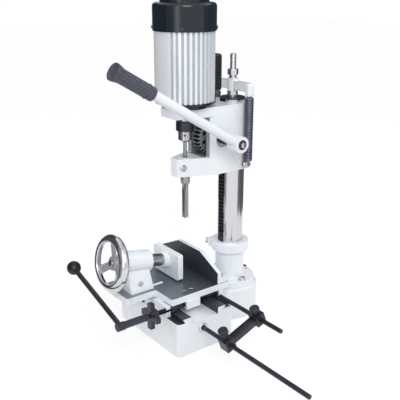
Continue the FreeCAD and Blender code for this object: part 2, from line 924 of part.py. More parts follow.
# Table, fence and nut block

def table_casting():
    left = table_centre - table_half_length
    right = table_centre + table_half_length
    main = block(left, right, table_front, table_rear, table_bottom, table_top)
    extension = block(table_centre - extension_half_width, table_centre + extension_half_width,
                      extension_front, table_front + overrun, table_bottom, table_top)
    body = rounded(fuse(main, extension), table_corner_radius, lambda e: runs_along(e, "z"))
    body = fuse(body, tongue_prism(table_front, saddle_rear, tongue_bottom, table_bottom + overrun, 0))
    sinks = []
    for y in nut_screw_places():
        sinks.append(rod("z", table_top - nut_screw_sink, table_top + overrun,
                         nut_screw_head_radius + sliding_gap, nut_screw_x, y))
        sinks.append(rod("z", table_bottom - overrun, table_top, nut_screw_radius + seat_gap, nut_screw_x, y))
    bolts = [rod("z", table_top - fence_bolt_depth, table_top + overrun, fence_bolt_radius + seat_gap, x, fence_bolt_y)
             for x in fence_bolt_places]
    return cut(body, *sinks, *bolts)


def nut_screw_places():
    return [nut_block_centre_y - nut_screw_offset, nut_block_centre_y + nut_screw_offset]


def fence():
    outline = [
        (-fence_half_length, 0), (fence_half_length, 0), (fence_half_length, fence_side_height),
        (fence_top_half_length, fence_height), (-fence_top_half_length, fence_height),
        (-fence_half_length, fence_side_height)]
    outline = [(table_centre + x, table_top + z) for x, z in outline]
    plate = prism("y", fence_front, fence_front + fence_thickness, outline)
    foot = block(table_centre - fence_half_length, table_centre + fence_half_length,
                 fence_front, table_rear, table_top, table_top + fence_foot_height)
    back = fence_front + fence_thickness - overrun
    ribs = []
    for side in (-1, 1):
        middle = table_centre + side * fence_rib_offset
        ribs.append(prism("x", middle - fence_rib_thickness / 2, middle + fence_rib_thickness / 2, [
            (back, table_top), (table_rear, table_top), (table_rear, table_top + fence_foot_height),
            (back, table_top + fence_rib_height)]))
    holes = [rod("z", table_top - overrun, table_top + fence_foot_height + overrun,
                 fence_bolt_radius + running_gap, x, fence_bolt_y) for x in fence_bolt_places]
    return cut(fuse(plate, foot, *ribs), *holes)


def fence_bolt(x):
    seat = table_top + fence_foot_height
    washer = rod("z", seat, seat + fence_bolt_washer, fence_bolt_washer_radius, x, fence_bolt_y)
    head = hexagon("z", seat + fence_bolt_washer, seat + fence_bolt_washer + fence_bolt_head,
                   fence_bolt_flats, x, fence_bolt_y)
    shank = rod("z", table_top - fence_bolt_depth, seat, fence_bolt_radius, x, fence_bolt_y)
    return fuse(washer, head, shank)


def feed_nut_block():
    front = nut_block_centre_y - nut_block_half_length
    rear = nut_block_centre_y + nut_block_half_length
    body = block(nut_block_left, nut_block_right, front, rear, nut_block_bottom, table_bottom)
    bore = rod("y", front - overrun, rear + overrun, nut_bore_radius, feed_x, feed_z)
    holes = [rod("z", table_bottom - nut_screw_depth, table_bottom + overrun, nut_screw_radius + seat_gap, nut_screw_x, y)
             for y in nut_screw_places()]
    return cut(body, bore, *holes)


def nut_screw(y):
    seat = table_top - nut_screw_sink
    head = rod("z", seat, seat + nut_screw_head, nut_screw_head_radius, nut_screw_x, y)
    socket = hexagon("z", seat + nut_screw_head / 2, seat + nut_screw_head + overrun, nut_screw_head_radius, nut_screw_x, y)
    shank = rod("z", table_bottom - nut_screw_depth, seat, nut_screw_radius, nut_screw_x, y)
    return fuse(head.cut(socket), shank)


# Cross feed

def cross_feed_screw():
    body = rod("y", star_front, feed_screw_rear, feed_screw_radius, feed_x, feed_z)
    bore = rod("y", star_front - overrun, feed_screw_rear + overrun,
               feed_shaft_radius + running_gap, feed_x, feed_z)
    return body.cut(bore)


def star_knob():
    rear = star_front + star_thickness
    half = star_arm_width / 2
    upright = block(feed_x - half, feed_x + half, star_front, rear, feed_z - star_reach, feed_z + star_reach)
    level = block(feed_x - star_reach, feed_x + star_reach, star_front, rear, feed_z - half, feed_z + half)
    arms = [rounded(arm, star_tip_radius, lambda e: runs_along(e, "y")) for arm in (upright, level)]
    hub = rod("y", star_front, star_hub_rear, star_hub_radius, feed_x, feed_z)
    bore = rod("y", star_front - overrun, star_hub_rear + overrun, feed_screw_radius + seat_gap, feed_x, feed_z)
    return fuse(hub, *arms).cut(bore)


def feed_bearing():
    """The lobed bearing behind the saddle's front rail, flat over the way and under the table."""
    ring_rear = front_rail_inner + bearing_ring
    body = fuse(rod("y", front_rail_inner, ring_rear, bearing_radius, feed_x, feed_z),
                rod("y", ring_rear - overrun, bearing_rear, bearing_neck_radius, feed_x, feed_z))
    lobes = []
    for k in range(bearing_lobe_count):
        turn = 2 * math.pi * k / bearing_lobe_count
        lobes.append(rod("y", front_rail_inner - overrun, ring_rear + overrun, bearing_lobe_radius,
                         feed_x + (bearing_radius + bearing_lobe_radius / 2) * math.cos(turn),
                         feed_z + (bearing_radius + bearing_lobe_radius / 2) * math.sin(turn)))
    bore = rod("y", front_rail_inner - overrun, bearing_rear + overrun,
               feed_screw_radius + running_gap, feed_x, feed_z)
    side = bearing_radius + overrun
    under = block(feed_x - side, feed_x + side, front_rail_inner - overrun, bearing_rear + overrun,
                  base_height, way_top + sliding_gap)
    over = block(feed_x - side, feed_x + side, front_rail_inner - overrun, bearing_rear + overrun,
                 table_bottom - sliding_gap, table_top)
    return cut(body, bore, under, over, *lobes)


def feed_lever_shaft():
    return rod("y", feed_shaft_front, saddle_rear, feed_shaft_radius, feed_x, feed_z)


def feed_pinion():
    outline = gear_outline(pinion_module, pinion_teeth, pinion_thinning, -math.pi / 2)
    outline = [(feed_x + x, feed_z + z) for x, z in outline]
    half = pinion_width / 2
    body = prism("y", pinion_centre_y - half, pinion_centre_y + half, outline)
    bore = rod("y", pinion_centre_y - half - overrun, pinion_centre_y + half + overrun,
               feed_shaft_radius + seat_gap, feed_x, feed_z)
    return body.cut(bore)


def table_rack():
    teeth = rack_outline(pinion_module, pinion_thinning, table_rack_left, table_rack_right, feed_x)
    outline = [(x, rack_pitch_z + out) for x, out in teeth]
    outline += [(table_rack_right, base_height), (table_rack_left, base_height)]
    half = table_rack_width / 2
    return prism("y", pinion_centre_y - half, pinion_centre_y + half, outline)


def feed_lever_arm():
    """The thick sleeve on the lever's shaft, with the lever's rod welded to its elbow."""
    sleeve = rod("y", sleeve_front, sleeve_rear, sleeve_radius, feed_x, feed_z)
    elbow = rod("y", lever_rod_y - elbow_radius, lever_rod_y + elbow_radius, elbow_radius, feed_x, feed_z)
    bore = rod("y", sleeve_front - overrun, sleeve_rear + overrun,
               feed_shaft_radius + seat_gap, feed_x, feed_z)
    return fuse(sleeve, elbow, lever_rod(0)).cut(bore)


def lever_way():
    return V(math.cos(lever_rod_angle), 0, math.sin(lever_rod_angle))


def lever_rod(gap):
    start = V(feed_x, lever_rod_y, feed_z)
    length = lever_rod_reach - lever_ball_radius / 2
    return Part.makeCylinder(lever_rod_radius + gap, length, start, lever_way())


def feed_lever_ball():
    centre = V(feed_x, lever_rod_y, feed_z) + lever_way() * lever_rod_reach
    return Part.makeSphere(lever_ball_radius, centre, lever_way()).cut(lever_rod(seat_gap))


# Stop bar: drawn level along Y from the base's rod, then tilted to the saddle's rod

def tilt_to_bar(shape):
    placed = shape.copy()
    placed.rotate(V(0, base_rod_y, base_rod_z), V(1, 0, 0), math.degrees(bar_tilt))
    return placed


def bar_place(along, height):
    return base_rod_y + along, base_rod_z + height


def stop_bar():
    near_y, middle_z = bar_place(0, 0)
    far_y = near_y + bar_length
    low, high = middle_z - stop_block_half_height, middle_z + stop_block_half_height
    left, right = stop_bar_x - stop_block_half_width, stop_bar_x + stop_block_half_width
    near = block(left, right, near_y - stop_block_reach, near_y + stop_block_reach, low, high)
    far = block(left, right, far_y - stop_block_reach, far_y + stop_block_reach, low, high)
    bar = block(stop_bar_x - stop_bar_half_width, stop_bar_x + stop_bar_half_width, near_y, far_y,
                middle_z - stop_bar_half_height, middle_z + stop_bar_half_height)
    inner = stop_bar_half_width - stop_bar_rim
    trough = block(stop_bar_x - inner, stop_bar_x + inner, near_y + stop_block_reach, far_y - stop_block_reach,
                   middle_z + stop_bar_half_height - stop_bar_trough, middle_z + stop_bar_half_height + overrun)
    body = fuse(near, far, bar.cut(trough))
    near_bore = rod("x", left - overrun, right + overrun, stop_rod_radius + running_gap, near_y, middle_z)
    far_bore = rod("x", left - overrun, right + overrun, stop_rod_radius + sliding_gap, far_y, middle_z)
    screws = [rod("z", middle_z, high + overrun, thumb_screw_radius + running_gap, stop_bar_x, y)
              for y in (near_y, far_y)]
    return tilt_to_bar(cut(body, near_bore, far_bore, *screws))


def thumb_screw(along, lift):
    y, middle_z = bar_place(along, 0)
    seat = middle_z + stop_block_half_height + sliding_gap
    tip = middle_z + stop_rod_radius + 2 * sliding_gap
    top = seat + lift + thumb_height
    screw = rod("z", tip, seat + lift, thumb_screw_radius, stop_bar_x, y)
    neck = rod("z", seat, seat + lift, thumb_neck_radius, stop_bar_x, y)
    head = rod("z", seat + lift, top, thumb_radius, stop_bar_x, y)
    edges = [e for e in head.Edges if at_height(e, top) or at_height(e, seat + lift)]
    head = head.makeChamfer(thumb_edge, edges)
    grooves = []
    for k in range(thumb_groove_count):
        turn = 2 * math.pi * k / thumb_groove_count
        grooves.append(rod("z", seat + lift - overrun, top + overrun, thumb_groove_radius,
                           stop_bar_x + thumb_radius * math.cos(turn), y + thumb_radius * math.sin(turn)))
    return tilt_to_bar(fuse(screw, neck, cut(head, *grooves)))


# Vise: what lies on its axis is drawn level along Y, then tilted about the barrel's rear end

def tilt_vise(shape):
    placed = shape.copy()
    placed.rotate(V(0, barrel_rear, vise_z), V(1, 0, 0), -vise_tilt)
    return placed


def vise_rod(front, rear, radius):
    return rod("y", front, rear, radius, vise_x, vise_z)


def vise_body():
    barrel = rounded(vise_rod(barrel_front, barrel_rear, barrel_radius), barrel_edge_radius,
                     lambda e: e.BoundBox.YLength < seat_gap)
    pedestal = prism("y", foot_front, foot_rear, pedestal_outline())
    pedestal = rounded(pedestal, pedestal_edge_radius, upright_corner)
    body = fuse(pedestal, tilt_vise(barrel))
    ram_bore = vise_rod(barrel_front + barrel_front_wall, barrel_rear + overrun, ram_radius + running_gap)
    screw_bore = vise_rod(barrel_front - overrun, barrel_rear, vise_screw_radius + running_gap)
    pin_bore = rod("y", foot_rear - stop_pin_depth, foot_rear + overrun,
                   stop_pin_radius + seat_gap, stop_pin_x, stop_pin_z)
    seats = []
    for side in (-1, 1):
        face = lock_bolt_face() - lock_bolt_seat
        ends = sorted((vise_x + side * face, vise_x + side * (foot_half_width + overrun)))
        seats.append(rod("x", *ends, lock_bolt_head_radius + seat_gap, lock_bolt_y, lock_bolt_z))
        ends = sorted((vise_x + side * (face - lock_bolt_depth), vise_x + side * (face + overrun)))
        seats.append(rod("x", *ends, lock_bolt_radius + seat_gap, lock_bolt_y, lock_bolt_z))
    return cut(body, tilt_vise(ram_bore), tilt_vise(screw_bore), pin_bore, *seats)


def pedestal_outline():
    return [
        (vise_x - foot_half_width, table_top), (vise_x + foot_half_width, table_top),
        (vise_x + foot_half_width, table_top + foot_height), (vise_x + pedestal_half_width, pedestal_top),
        (vise_x - pedestal_half_width, pedestal_top), (vise_x - foot_half_width, table_top + foot_height)]


def upright_corner(edge):
    """The four slanted edges of the pedestal's sides."""
    box = edge.BoundBox
    return box.YLength < seat_gap and box.ZMin > table_top + overrun and box.ZLength > foot_height


def lock_bolt_face():
    """Half-width of the pedestal's sloping side at the lock bolt's height."""
    rise = (lock_bolt_z - table_top - foot_height) / (pedestal_top - table_top - foot_height)
    return foot_half_width + (pedestal_half_width - foot_half_width) * rise


def lock_bolt(side):
    face = lock_bolt_face() - lock_bolt_seat
    head_ends = sorted((vise_x + side * face, vise_x + side * (face + lock_bolt_head)))
    shank_ends = sorted((vise_x + side * (face - lock_bolt_depth), vise_x + side * face))
    head = rod("x", *head_ends, lock_bolt_head_radius, lock_bolt_y, lock_bolt_z)
    outer = vise_x + side * (face + lock_bolt_head)
    socket_ends = sorted((outer - side * lock_bolt_head / 2, outer + side * overrun))
    socket = hexagon("x", *socket_ends, lock_bolt_head_radius, lock_bolt_y, lock_bolt_z)
    shank = rod("x", *shank_ends, lock_bolt_radius, lock_bolt_y, lock_bolt_z)
    return fuse(head.cut(socket), shank)


def jaw_stop_pin():
    return rod("y", foot_rear - stop_pin_depth, stop_pin_front, stop_pin_radius, stop_pin_x, stop_pin_z)


def vise_ram():
    body = vise_rod(ram_rear, ram_end, ram_radius)
    bore = vise_rod(ram_rear - overrun, ram_bore_end, vise_screw_radius + sliding_gap)
    return tilt_vise(body.cut(bore))


def vise_jaw():
    plate = block(vise_x - jaw_half_width, vise_x + jaw_half_width, jaw_front, jaw_front + jaw_thickness,
                  jaw_bottom, jaw_top)
    plate = rounded(plate, jaw_corner_radius, lambda e: runs_along(e, "y"))
    boss = cone("y", jaw_boss_front, ram_end, jaw_boss_tip_radius, jaw_boss_radius, vise_x, vise_z)
    bore = vise_rod(jaw_boss_front - overrun, ram_end, ram_radius + seat_gap)
    return fuse(plate, tilt_vise(boss)).cut(tilt_vise(bore))


def vise_screw():
    hub_front = wheel_hub_y - wheel_hub_half_length
    thread = vise_rod(barrel_front, vise_screw_rear, vise_screw_radius)
    shoulder = vise_rod(wheel_hub_y + wheel_hub_half_length, barrel_front - sliding_gap, screw_shoulder_radius)
    journal = vise_rod(hub_front, barrel_front, screw_journal_radius)
    return tilt_vise(fuse(thread, shoulder, journal))


def handwheel_nut():
    rear = wheel_hub_y - wheel_hub_half_length
    front = rear - wheel_nut_height
    nut = vise_rod(front, rear, wheel_nut_radius)
    edges = [e for e in nut.Edges if abs(e.BoundBox.YMax - front) < seat_gap]
    return tilt_vise(nut.makeFillet(wheel_nut_height / 2, edges))


def handwheel():
    mean = wheel_radius - wheel_section_radius
    hub_centre = V(vise_x, wheel_hub_y, vise_z)
    rim_centre = V(vise_x, wheel_rim_y, vise_z)
    rim = Part.makeTorus(mean, wheel_section_radius, rim_centre, V(0, 1, 0))
    hub = vise_rod(wheel_hub_y - wheel_hub_half_length, wheel_hub_y + wheel_hub_half_length, wheel_hub_radius)
    spokes = []
    for k in range(wheel_spoke_count):
        turn = wheel_spoke_angle + 2 * math.pi * k / wheel_spoke_count
        reach = rim_centre + V(math.cos(turn), 0, math.sin(turn)) * mean - hub_centre
        length = reach.Length - wheel_spoke_start
        way = reach.normalize()
        spokes.append(Part.makeCone(wheel_spoke_radius, wheel_spoke_tip_radius, length,
                                    hub_centre + way * wheel_spoke_start, way))
    bore = vise_rod(wheel_hub_y - wheel_hub_half_length - overrun, wheel_hub_y + wheel_hub_half_length + overrun,
                    screw_journal_radius + seat_gap)
    return tilt_vise(fuse(hub, rim, *spokes).cut(bore))


# Head

def head_plan(front, front_half_width):
    return [
        (-front_half_width, front), (front_half_width, front), (head_half_width, head_shoulder_y),
        (head_half_width, head_flat_rear), (-head_half_width, head_flat_rear), (-head_half_width, head_shoulder_y)]


def head_casting():
    arm = prism("z", head_bottom, arm_top, head_plan(arm_front, arm_tip_half_width))
    platform = prism("z", throat_top, head_top, head_plan(platform_front, platform_half_width))
    share = (throat_rear - arm_front) / (head_shoulder_y - arm_front)
    wall_half = arm_tip_half_width + (head_half_width - arm_tip_half_width) * share
    walls = prism("z", arm_top, throat_top, head_plan(throat_rear, wall_half))
    back = rod("z", head_bottom, head_top, head_half_width, 0, column_y)
    body = fuse(arm, walls, platform, back)
    room = gear_room_gap + feed_pitch_radius + feed_module
    gear_room = block(-gear_room_half_width, gear_room_half_width, gear_room_front, column_y,
                      gear_axis_z - room, gear_axis_z + room)
    column_bore = rod("z", head_bottom - overrun, head_top + overrun, column_radius + running_gap, 0, column_y)
    shaft_hole = rod("x", -head_half_width - overrun, head_half_width + overrun, shaft_hole_radius,
                     gear_axis_y, gear_axis_z)
    spindle_hole = rod("z", throat_top - overrun, head_top + overrun, chuck_body_radius, 0, 0)
    chisel_bore = rod("z", head_bottom - overrun, arm_top + overrun, chisel_shank_radius + seat_gap, 0, 0)
    slit = block(-slit_width / 2, slit_width / 2, arm_front - overrun, 0, head_bottom - overrun, arm_top + overrun)
    seat = rod("x", clamp_seat_x, head_half_width, clamp_seat_radius, clamp_bolt_y, clamp_bolt_z)
    bolt_hole = rod("x", clamp_bolt_end, head_half_width, clamp_bolt_radius + running_gap, clamp_bolt_y, clamp_bolt_z)
    lug_hole = rod("x", head_half_width - spring_lug_depth, head_half_width + overrun,
                   spring_lug_radius + seat_gap, column_y, spring_lug_z)
    return cut(body, gear_room, column_bore, shaft_hole, spindle_hole, chisel_bore, slit, seat,
               bolt_hole, lug_hole, mirrored(lug_hole))


def gear_shaft_bush():
    return ring("x", gear_room_half_width, head_half_width - bush_recess, shaft_hole_radius - seat_gap,
                gear_shaft_radius + running_gap, gear_axis_y, gear_axis_z)


def gear_shaft():
    body = rod("x", shaft_left_end, hub_outer_end - hub_recess, gear_shaft_radius, gear_axis_y, gear_axis_z)
    collar = rod("x", shaft_left_end, -head_half_width - sliding_gap, shaft_collar_radius, gear_axis_y, gear_axis_z)
    return fuse(body, collar)


def feed_gear():
    """The toothed disc, with a spacer on each side that keeps it in the middle of its room."""
    outline = gear_outline(feed_module, feed_teeth, tooth_thinning, 0)
    outline = [(gear_axis_y + y, gear_axis_z + z) for y, z in outline]
    half = gear_width / 2
    bore_radius = gear_shaft_radius + seat_gap
    holes = [rod("x", -half - overrun, half + overrun, bore_radius, gear_axis_y, gear_axis_z)]
    for k in range(gear_hole_count):
        turn = 2 * math.pi * (k + 0.5) / gear_hole_count
        holes.append(rod("x", -half - overrun, half + overrun, gear_hole_radius,
                         gear_axis_y + gear_hole_circle * math.cos(turn),
                         gear_axis_z + gear_hole_circle * math.sin(turn)))
    disc = cut(prism("x", -half, half, outline), *holes)
    spacer = ring("x", half, gear_hub_half_width, gear_hub_radius, bore_radius, gear_axis_y, gear_axis_z)
    return [disc, spacer, mirrored(spacer)]


def lever_direction():
    return V(0, -math.cos(lever_angle), math.sin(lever_angle))


def along_lever(low, high, radius):
    centre = V(lever_plane_x, gear_axis_y, gear_axis_z)
    return Part.makeCylinder(radius, high - low, centre + lever_direction() * low, lever_direction())


def lever_arm():
    hub = rod("x", hub_inner_end, hub_outer_end, hub_radius, gear_axis_y, gear_axis_z)
    tube = along_lever(0, lever_length, lever_radius)
    bore = rod("x", hub_inner_end - overrun, hub_outer_end + overrun, gear_shaft_radius + seat_gap,
               gear_axis_y, gear_axis_z)
    return fuse(hub, tube).cut(bore)


def lever_cone(low, high, low_radius, high_radius):
    start = V(lever_plane_x, gear_axis_y, gear_axis_z) + lever_direction() * low
    return Part.makeCone(low_radius, high_radius, high - low, start, lever_direction())


def lever_grip():
    """A rubber sleeve, flared and dished at its end, with a collar where the tube enters."""
    flare_start = grip_end - grip_flange - grip_flare
    body = along_lever(grip_start, flare_start + overrun, grip_radius)
    flare = lever_cone(flare_start, grip_end - grip_flange, grip_radius, grip_flange_radius)
    flange = along_lever(grip_end - grip_flange, grip_end, grip_flange_radius)
    dish = lever_cone(grip_end - grip_dish, grip_end, grip_flange_radius - 2 * grip_dish, grip_flange_radius - grip_rim)
    collar = along_lever(grip_start + grip_collar_inset, grip_start + grip_collar_inset + grip_rim,
                         grip_radius + grip_rim / 2)
    bore = along_lever(grip_start - overrun, lever_length + seat_gap, lever_radius + seat_gap)
    return cut(fuse(body, flare, flange, collar), bore, dish)


def chisel_clamp_bolt():
    washer_end = clamp_seat_x + clamp_bolt_washer
    shank = rod("x", clamp_bolt_end, clamp_seat_x, clamp_bolt_radius, clamp_bolt_y, clamp_bolt_z)
    washer = rod("x", clamp_seat_x, washer_end, clamp_bolt_washer_radius, clamp_bolt_y, clamp_bolt_z)
    head = hexagon("x", washer_end, washer_end + clamp_bolt_head, clamp_bolt_flats, clamp_bolt_y, clamp_bolt_z)
    return fuse(shank, washer, head)


def hollow_chisel():
    half = chisel_side / 2
    upper = turned([
        (0, chisel_cone_bottom), (half, chisel_cone_bottom), (chisel_collar_radius, chisel_collar_bottom),
        (chisel_collar_radius, head_bottom), (chisel_shank_radius, head_bottom),
        (chisel_shank_radius, chisel_shank_top), (0, chisel_shank_top)], 0, 0)
    blade = block(-half, half, -half, half, chisel_tip, chisel_cone_bottom + overrun)
    bore = rod("z", chisel_tip - overrun, chisel_shank_top + overrun, chisel_bore_radius, 0, 0)
    corner = half * math.sqrt(2)
    edge = cone("z", chisel_tip - overrun, chisel_tip + corner - chisel_bore_radius,
                corner + overrun, chisel_bore_radius, 0, 0)
    slot = block(-chisel_slot_width / 2, chisel_slot_width / 2, -chisel_side, 0, chisel_slot_bottom, chisel_slot_top)
    return cut(fuse(upper, blade), bore, edge, slot)


def auger_bit():
    shank = rod("z", chisel_tip + bit_cut_height, bit_top, bit_radius, 0, 0)
    nose = cone("z", chisel_tip - bit_point, chisel_tip + bit_cut_height, 0, bit_radius, 0, 0)
    return fuse(shank, nose)


# Chuck and motor

def chuck_body():
    body = turned([
        (0, chuck_nose_bottom), (chuck_nose_radius, chuck_nose_bottom), (chuck_body_radius, chuck_body_bottom),
        (chuck_body_radius, chuck_top), (0, chuck_top)], 0, 0)
    bit_bore = rod("z", chuck_nose_bottom - overrun, bit_top + seat_gap, bit_radius + seat_gap, 0, 0)
    shaft_bore = rod("z", shaft_bottom, chuck_top + overrun, shaft_radius + seat_gap, 0, 0)
    return cut(body, bit_bore, shaft_bore)


def chuck_sleeve():
    body = rod("z", chuck_sleeve_bottom, chuck_sleeve_top, chuck_sleeve_radius, 0, 0)
    ends = [e for e in body.Edges if at_height(e, chuck_sleeve_top) or at_height(e, chuck_sleeve_bottom)]
    body = body.makeChamfer(chuck_chamfer, ends)
    bore = rod("z", chuck_sleeve_bottom - overrun, chuck_sleeve_top + overrun, chuck_body_radius + seat_gap, 0, 0)
    notches = []
    for k in range(chuck_notch_count):
        turn = 360 * k / chuck_notch_count
        notch = rod("x", chuck_body_radius + chuck_chamfer, chuck_sleeve_radius + overrun,
                    chuck_notch_radius, 0, chuck_sleeve_bottom)
        notch.rotate(V(0, 0, 0), V(0, 0, 1), turn)
        notches.append(notch)
    return cut(body, bore, *notches)


def motor_shaft():
    shaft = rod("z", shaft_bottom, motor_frame_top - running_gap, shaft_radius, 0, 0)
    rotor = rod("z", rotor_bottom, rotor_top, rotor_radius, 0, 0)
    return fuse(shaft, rotor)


def motor_end_bell():
    rim = rod("z", motor_bell_top - motor_bell_height, motor_bell_top, motor_radius, 0, 0)
    neck = rod("z", head_top, motor_bell_top, motor_neck_radius, 0, 0)
    return fuse(rim, neck).cut(rod("z", head_top, motor_bell_top, shaft_radius + running_gap, 0, 0))


def fin_turns():
    """Bearings of the grooves between fins, left out at the flat pad and behind."""
    turns = []
    for k in range(motor_fin_count):
        turn = 360 * k / motor_fin_count - 180
        front = motor_pad_start < turn < motor_pad_end
        rear = motor_box_pad_start < turn < motor_box_pad_end
        if not front and not rear:
            turns.append(math.radians(turn))
    return turns


def motor_frame():
    body = rod("z", motor_bell_top, motor_frame_top, motor_radius, 0, 0)
    spigot = rod("z", motor_frame_top, motor_spigot_top, motor_radius, 0, 0)
    groove_half = math.pi * motor_radius / motor_fin_count * motor_fin_share
    inner = motor_radius - motor_fin_depth
    grooves = []
    for turn in fin_turns():
        groove = block(inner, motor_radius + overrun, -groove_half, groove_half,
                       motor_bell_top - overrun, motor_frame_top)
        groove.rotate(V(0, 0, 0), V(0, 0, 1), math.degrees(turn))
        grooves.append(groove)
    cavity = rod("z", motor_bell_top + motor_wall, motor_frame_top - motor_wall, motor_cavity_radius, 0, 0)
    bore = rod("z", motor_bell_top - overrun, motor_frame_top, shaft_radius + running_gap, 0, 0)
    body = fuse(body, spigot).cut(Part.makeCompound(grooves))
    return cut(body, cavity, bore, *cover_screw_holes())


def turned_to_screw(shape, index):
    placed = shape.copy()
    placed.rotate(V(0, 0, 0), V(0, 0, 1), cover_screw_bearing + 360 * index / cover_screw_count)
    return placed


def cover_screw_holes():
    hole = rod("x", cover_radius - cover_screw_depth, cover_radius + overrun,
               cover_screw_radius + seat_gap, 0, cover_screw_height)
    return [turned_to_screw(hole, k) for k in range(cover_screw_count)]


def cover_screws():
    shank = rod("x", cover_radius - cover_screw_depth, cover_radius, cover_screw_radius, 0, cover_screw_height)
    head = rod("x", cover_radius, cover_radius + cover_screw_head, cover_screw_head_radius, 0, cover_screw_height)
    screw = fuse(shank, head)
    return [turned_to_screw(screw, k) for k in range(cover_screw_count)]


def cover_drum(radius, top, edge_radius):
    body = rod("z", motor_frame_top, top, radius, 0, 0)
    return rounded(body, edge_radius, lambda e: at_height(e, top))


def motor_fan_cover():
    outside = fuse(cover_drum(cover_radius, cover_shoulder, cover_shoulder_radius),
                   cover_drum(cover_dome_radius, cover_dome_top, cover_dome_edge))
    inside = fuse(cover_drum(cover_radius - cover_wall, cover_shoulder - cover_wall,
                             cover_shoulder_radius - cover_wall),
                  cover_drum(cover_dome_radius - cover_wall, cover_dome_top - cover_wall,
                             cover_dome_edge - cover_wall))
    return cut(outside, inside, *cover_screw_holes())


def switch_box():
    body = block(-box_half_width, box_half_width, 0, box_rear, box_bottom, box_top)
    body = rounded(body, box_edge_radius, lambda e: runs_along(e, "y"))
    conduit = rod("z", head_top, box_bottom + overrun, conduit_radius, 0, conduit_y)
    motor_room = rod("z", box_bottom - overrun, box_top + overrun, motor_radius + box_gap, 0, 0)
    return fuse(body, conduit).cut(motor_room)


def build():
    save("base_casting", base_casting())
    save("column_flange", column_flange())
    save("flange_bolts", *[flange_bolt(x, y) for x, y in bolt_circle_places()])
    save("column_collar", column_collar())
    save("collar_screw", collar_screw())
    save("column_tube", column_tube())
    save("column_rack", column_rack())
    save("column_cap", column_cap())
    save("spring_stud", spring_stud())
    save("stud_nuts", *stud_nuts())
    save("spring_crossbar", spring_crossbar())
    save("table_rack", table_rack())
    save("base_stop_rod", base_stop_rod())
    save("saddle_casting", saddle_casting())
    save("saddle_gib", saddle_gib())
    save("gib_screws", *[gib_screw(x) for x in gib_screw_places()])
    save("saddle_stop_rod", stop_rod(saddle_right - saddle_rod_depth, saddle_rod_end, saddle_rod_y, saddle_rod_z))
    save("feed_bearing", feed_bearing())
    save("feed_lever_shaft", feed_lever_shaft())
    save("feed_pinion", feed_pinion())
    save("feed_lever_arm", feed_lever_arm())
    save("feed_lever_ball", feed_lever_ball())
    save("star_knob", star_knob())
    save("cross_feed_screw", cross_feed_screw())
    save("table_casting", table_casting())
    save("fence", fence())
    save("fence_bolts", *[fence_bolt(x) for x in fence_bolt_places])
    save("feed_nut_block", feed_nut_block())
    save("nut_block_screws", *[nut_screw(y) for y in nut_screw_places()])
    save("vise_body", vise_body())
    save("vise_lock_bolts", lock_bolt(-1), lock_bolt(1))
    save("jaw_stop_pin", jaw_stop_pin())
    save("handwheel", handwheel())
    save("vise_screw", vise_screw())
    save("handwheel_nut", handwheel_nut())
    save("vise_ram", vise_ram())
    save("vise_jaw", vise_jaw())
    save("stop_bar", stop_bar())
    save("thumb_screw_near", thumb_screw(0, thumb_near_lift))
    save("thumb_screw_far", thumb_screw(bar_length, thumb_far_lift))
    save("head_casting", head_casting())
    save("gear_shaft_bushes", gear_shaft_bush(), mirrored(gear_shaft_bush()))
    save("chisel_clamp_bolt", chisel_clamp_bolt())
    save("hollow_chisel", hollow_chisel())
    save("motor_frame", motor_frame())
    save("motor_end_bell", motor_end_bell())
    save("motor_fan_cover", motor_fan_cover())
    save("motor_screws", *cover_screws())
    save("switch_box", switch_box())
    save("spring_lug_bolts", spring_lug_bolt(), mirrored(spring_lug_bolt()))
    save("motor_shaft", motor_shaft())
    save("chuck_body", chuck_body())
    save("chuck_sleeve", chuck_sleeve())
    save("auger_bit", auger_bit())
    save("feed_gear", *feed_gear())
    save("gear_shaft", gear_shaft())
    save("lever_arm", lever_arm())
    save("lever_grip", lever_grip())
    save("return_spring_left", return_spring(-spring_x))
    save("return_spring_right", return_spring(spring_x))


os.makedirs("parts", exist_ok=True)
build()
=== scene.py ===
import json
import math

import bpy
from mathutils import Matrix, Vector

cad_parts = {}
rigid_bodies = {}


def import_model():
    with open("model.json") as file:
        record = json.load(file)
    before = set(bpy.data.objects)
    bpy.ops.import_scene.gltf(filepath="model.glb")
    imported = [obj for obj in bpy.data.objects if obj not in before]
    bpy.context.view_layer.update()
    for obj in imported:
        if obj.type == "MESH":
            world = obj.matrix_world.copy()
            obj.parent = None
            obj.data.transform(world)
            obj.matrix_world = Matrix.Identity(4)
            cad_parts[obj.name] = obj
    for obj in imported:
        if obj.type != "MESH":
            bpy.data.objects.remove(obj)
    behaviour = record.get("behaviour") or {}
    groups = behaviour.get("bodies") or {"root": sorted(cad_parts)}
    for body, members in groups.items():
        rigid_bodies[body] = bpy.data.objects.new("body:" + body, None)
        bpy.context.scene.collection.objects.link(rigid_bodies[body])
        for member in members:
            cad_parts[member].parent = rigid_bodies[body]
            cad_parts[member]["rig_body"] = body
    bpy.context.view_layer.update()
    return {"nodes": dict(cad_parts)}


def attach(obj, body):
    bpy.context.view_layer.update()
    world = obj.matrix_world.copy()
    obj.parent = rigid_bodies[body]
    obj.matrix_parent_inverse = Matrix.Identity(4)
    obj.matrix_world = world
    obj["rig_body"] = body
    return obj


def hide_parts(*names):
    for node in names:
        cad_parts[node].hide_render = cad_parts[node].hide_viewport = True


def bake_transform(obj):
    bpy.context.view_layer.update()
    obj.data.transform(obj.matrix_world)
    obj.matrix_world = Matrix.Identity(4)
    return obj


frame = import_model()

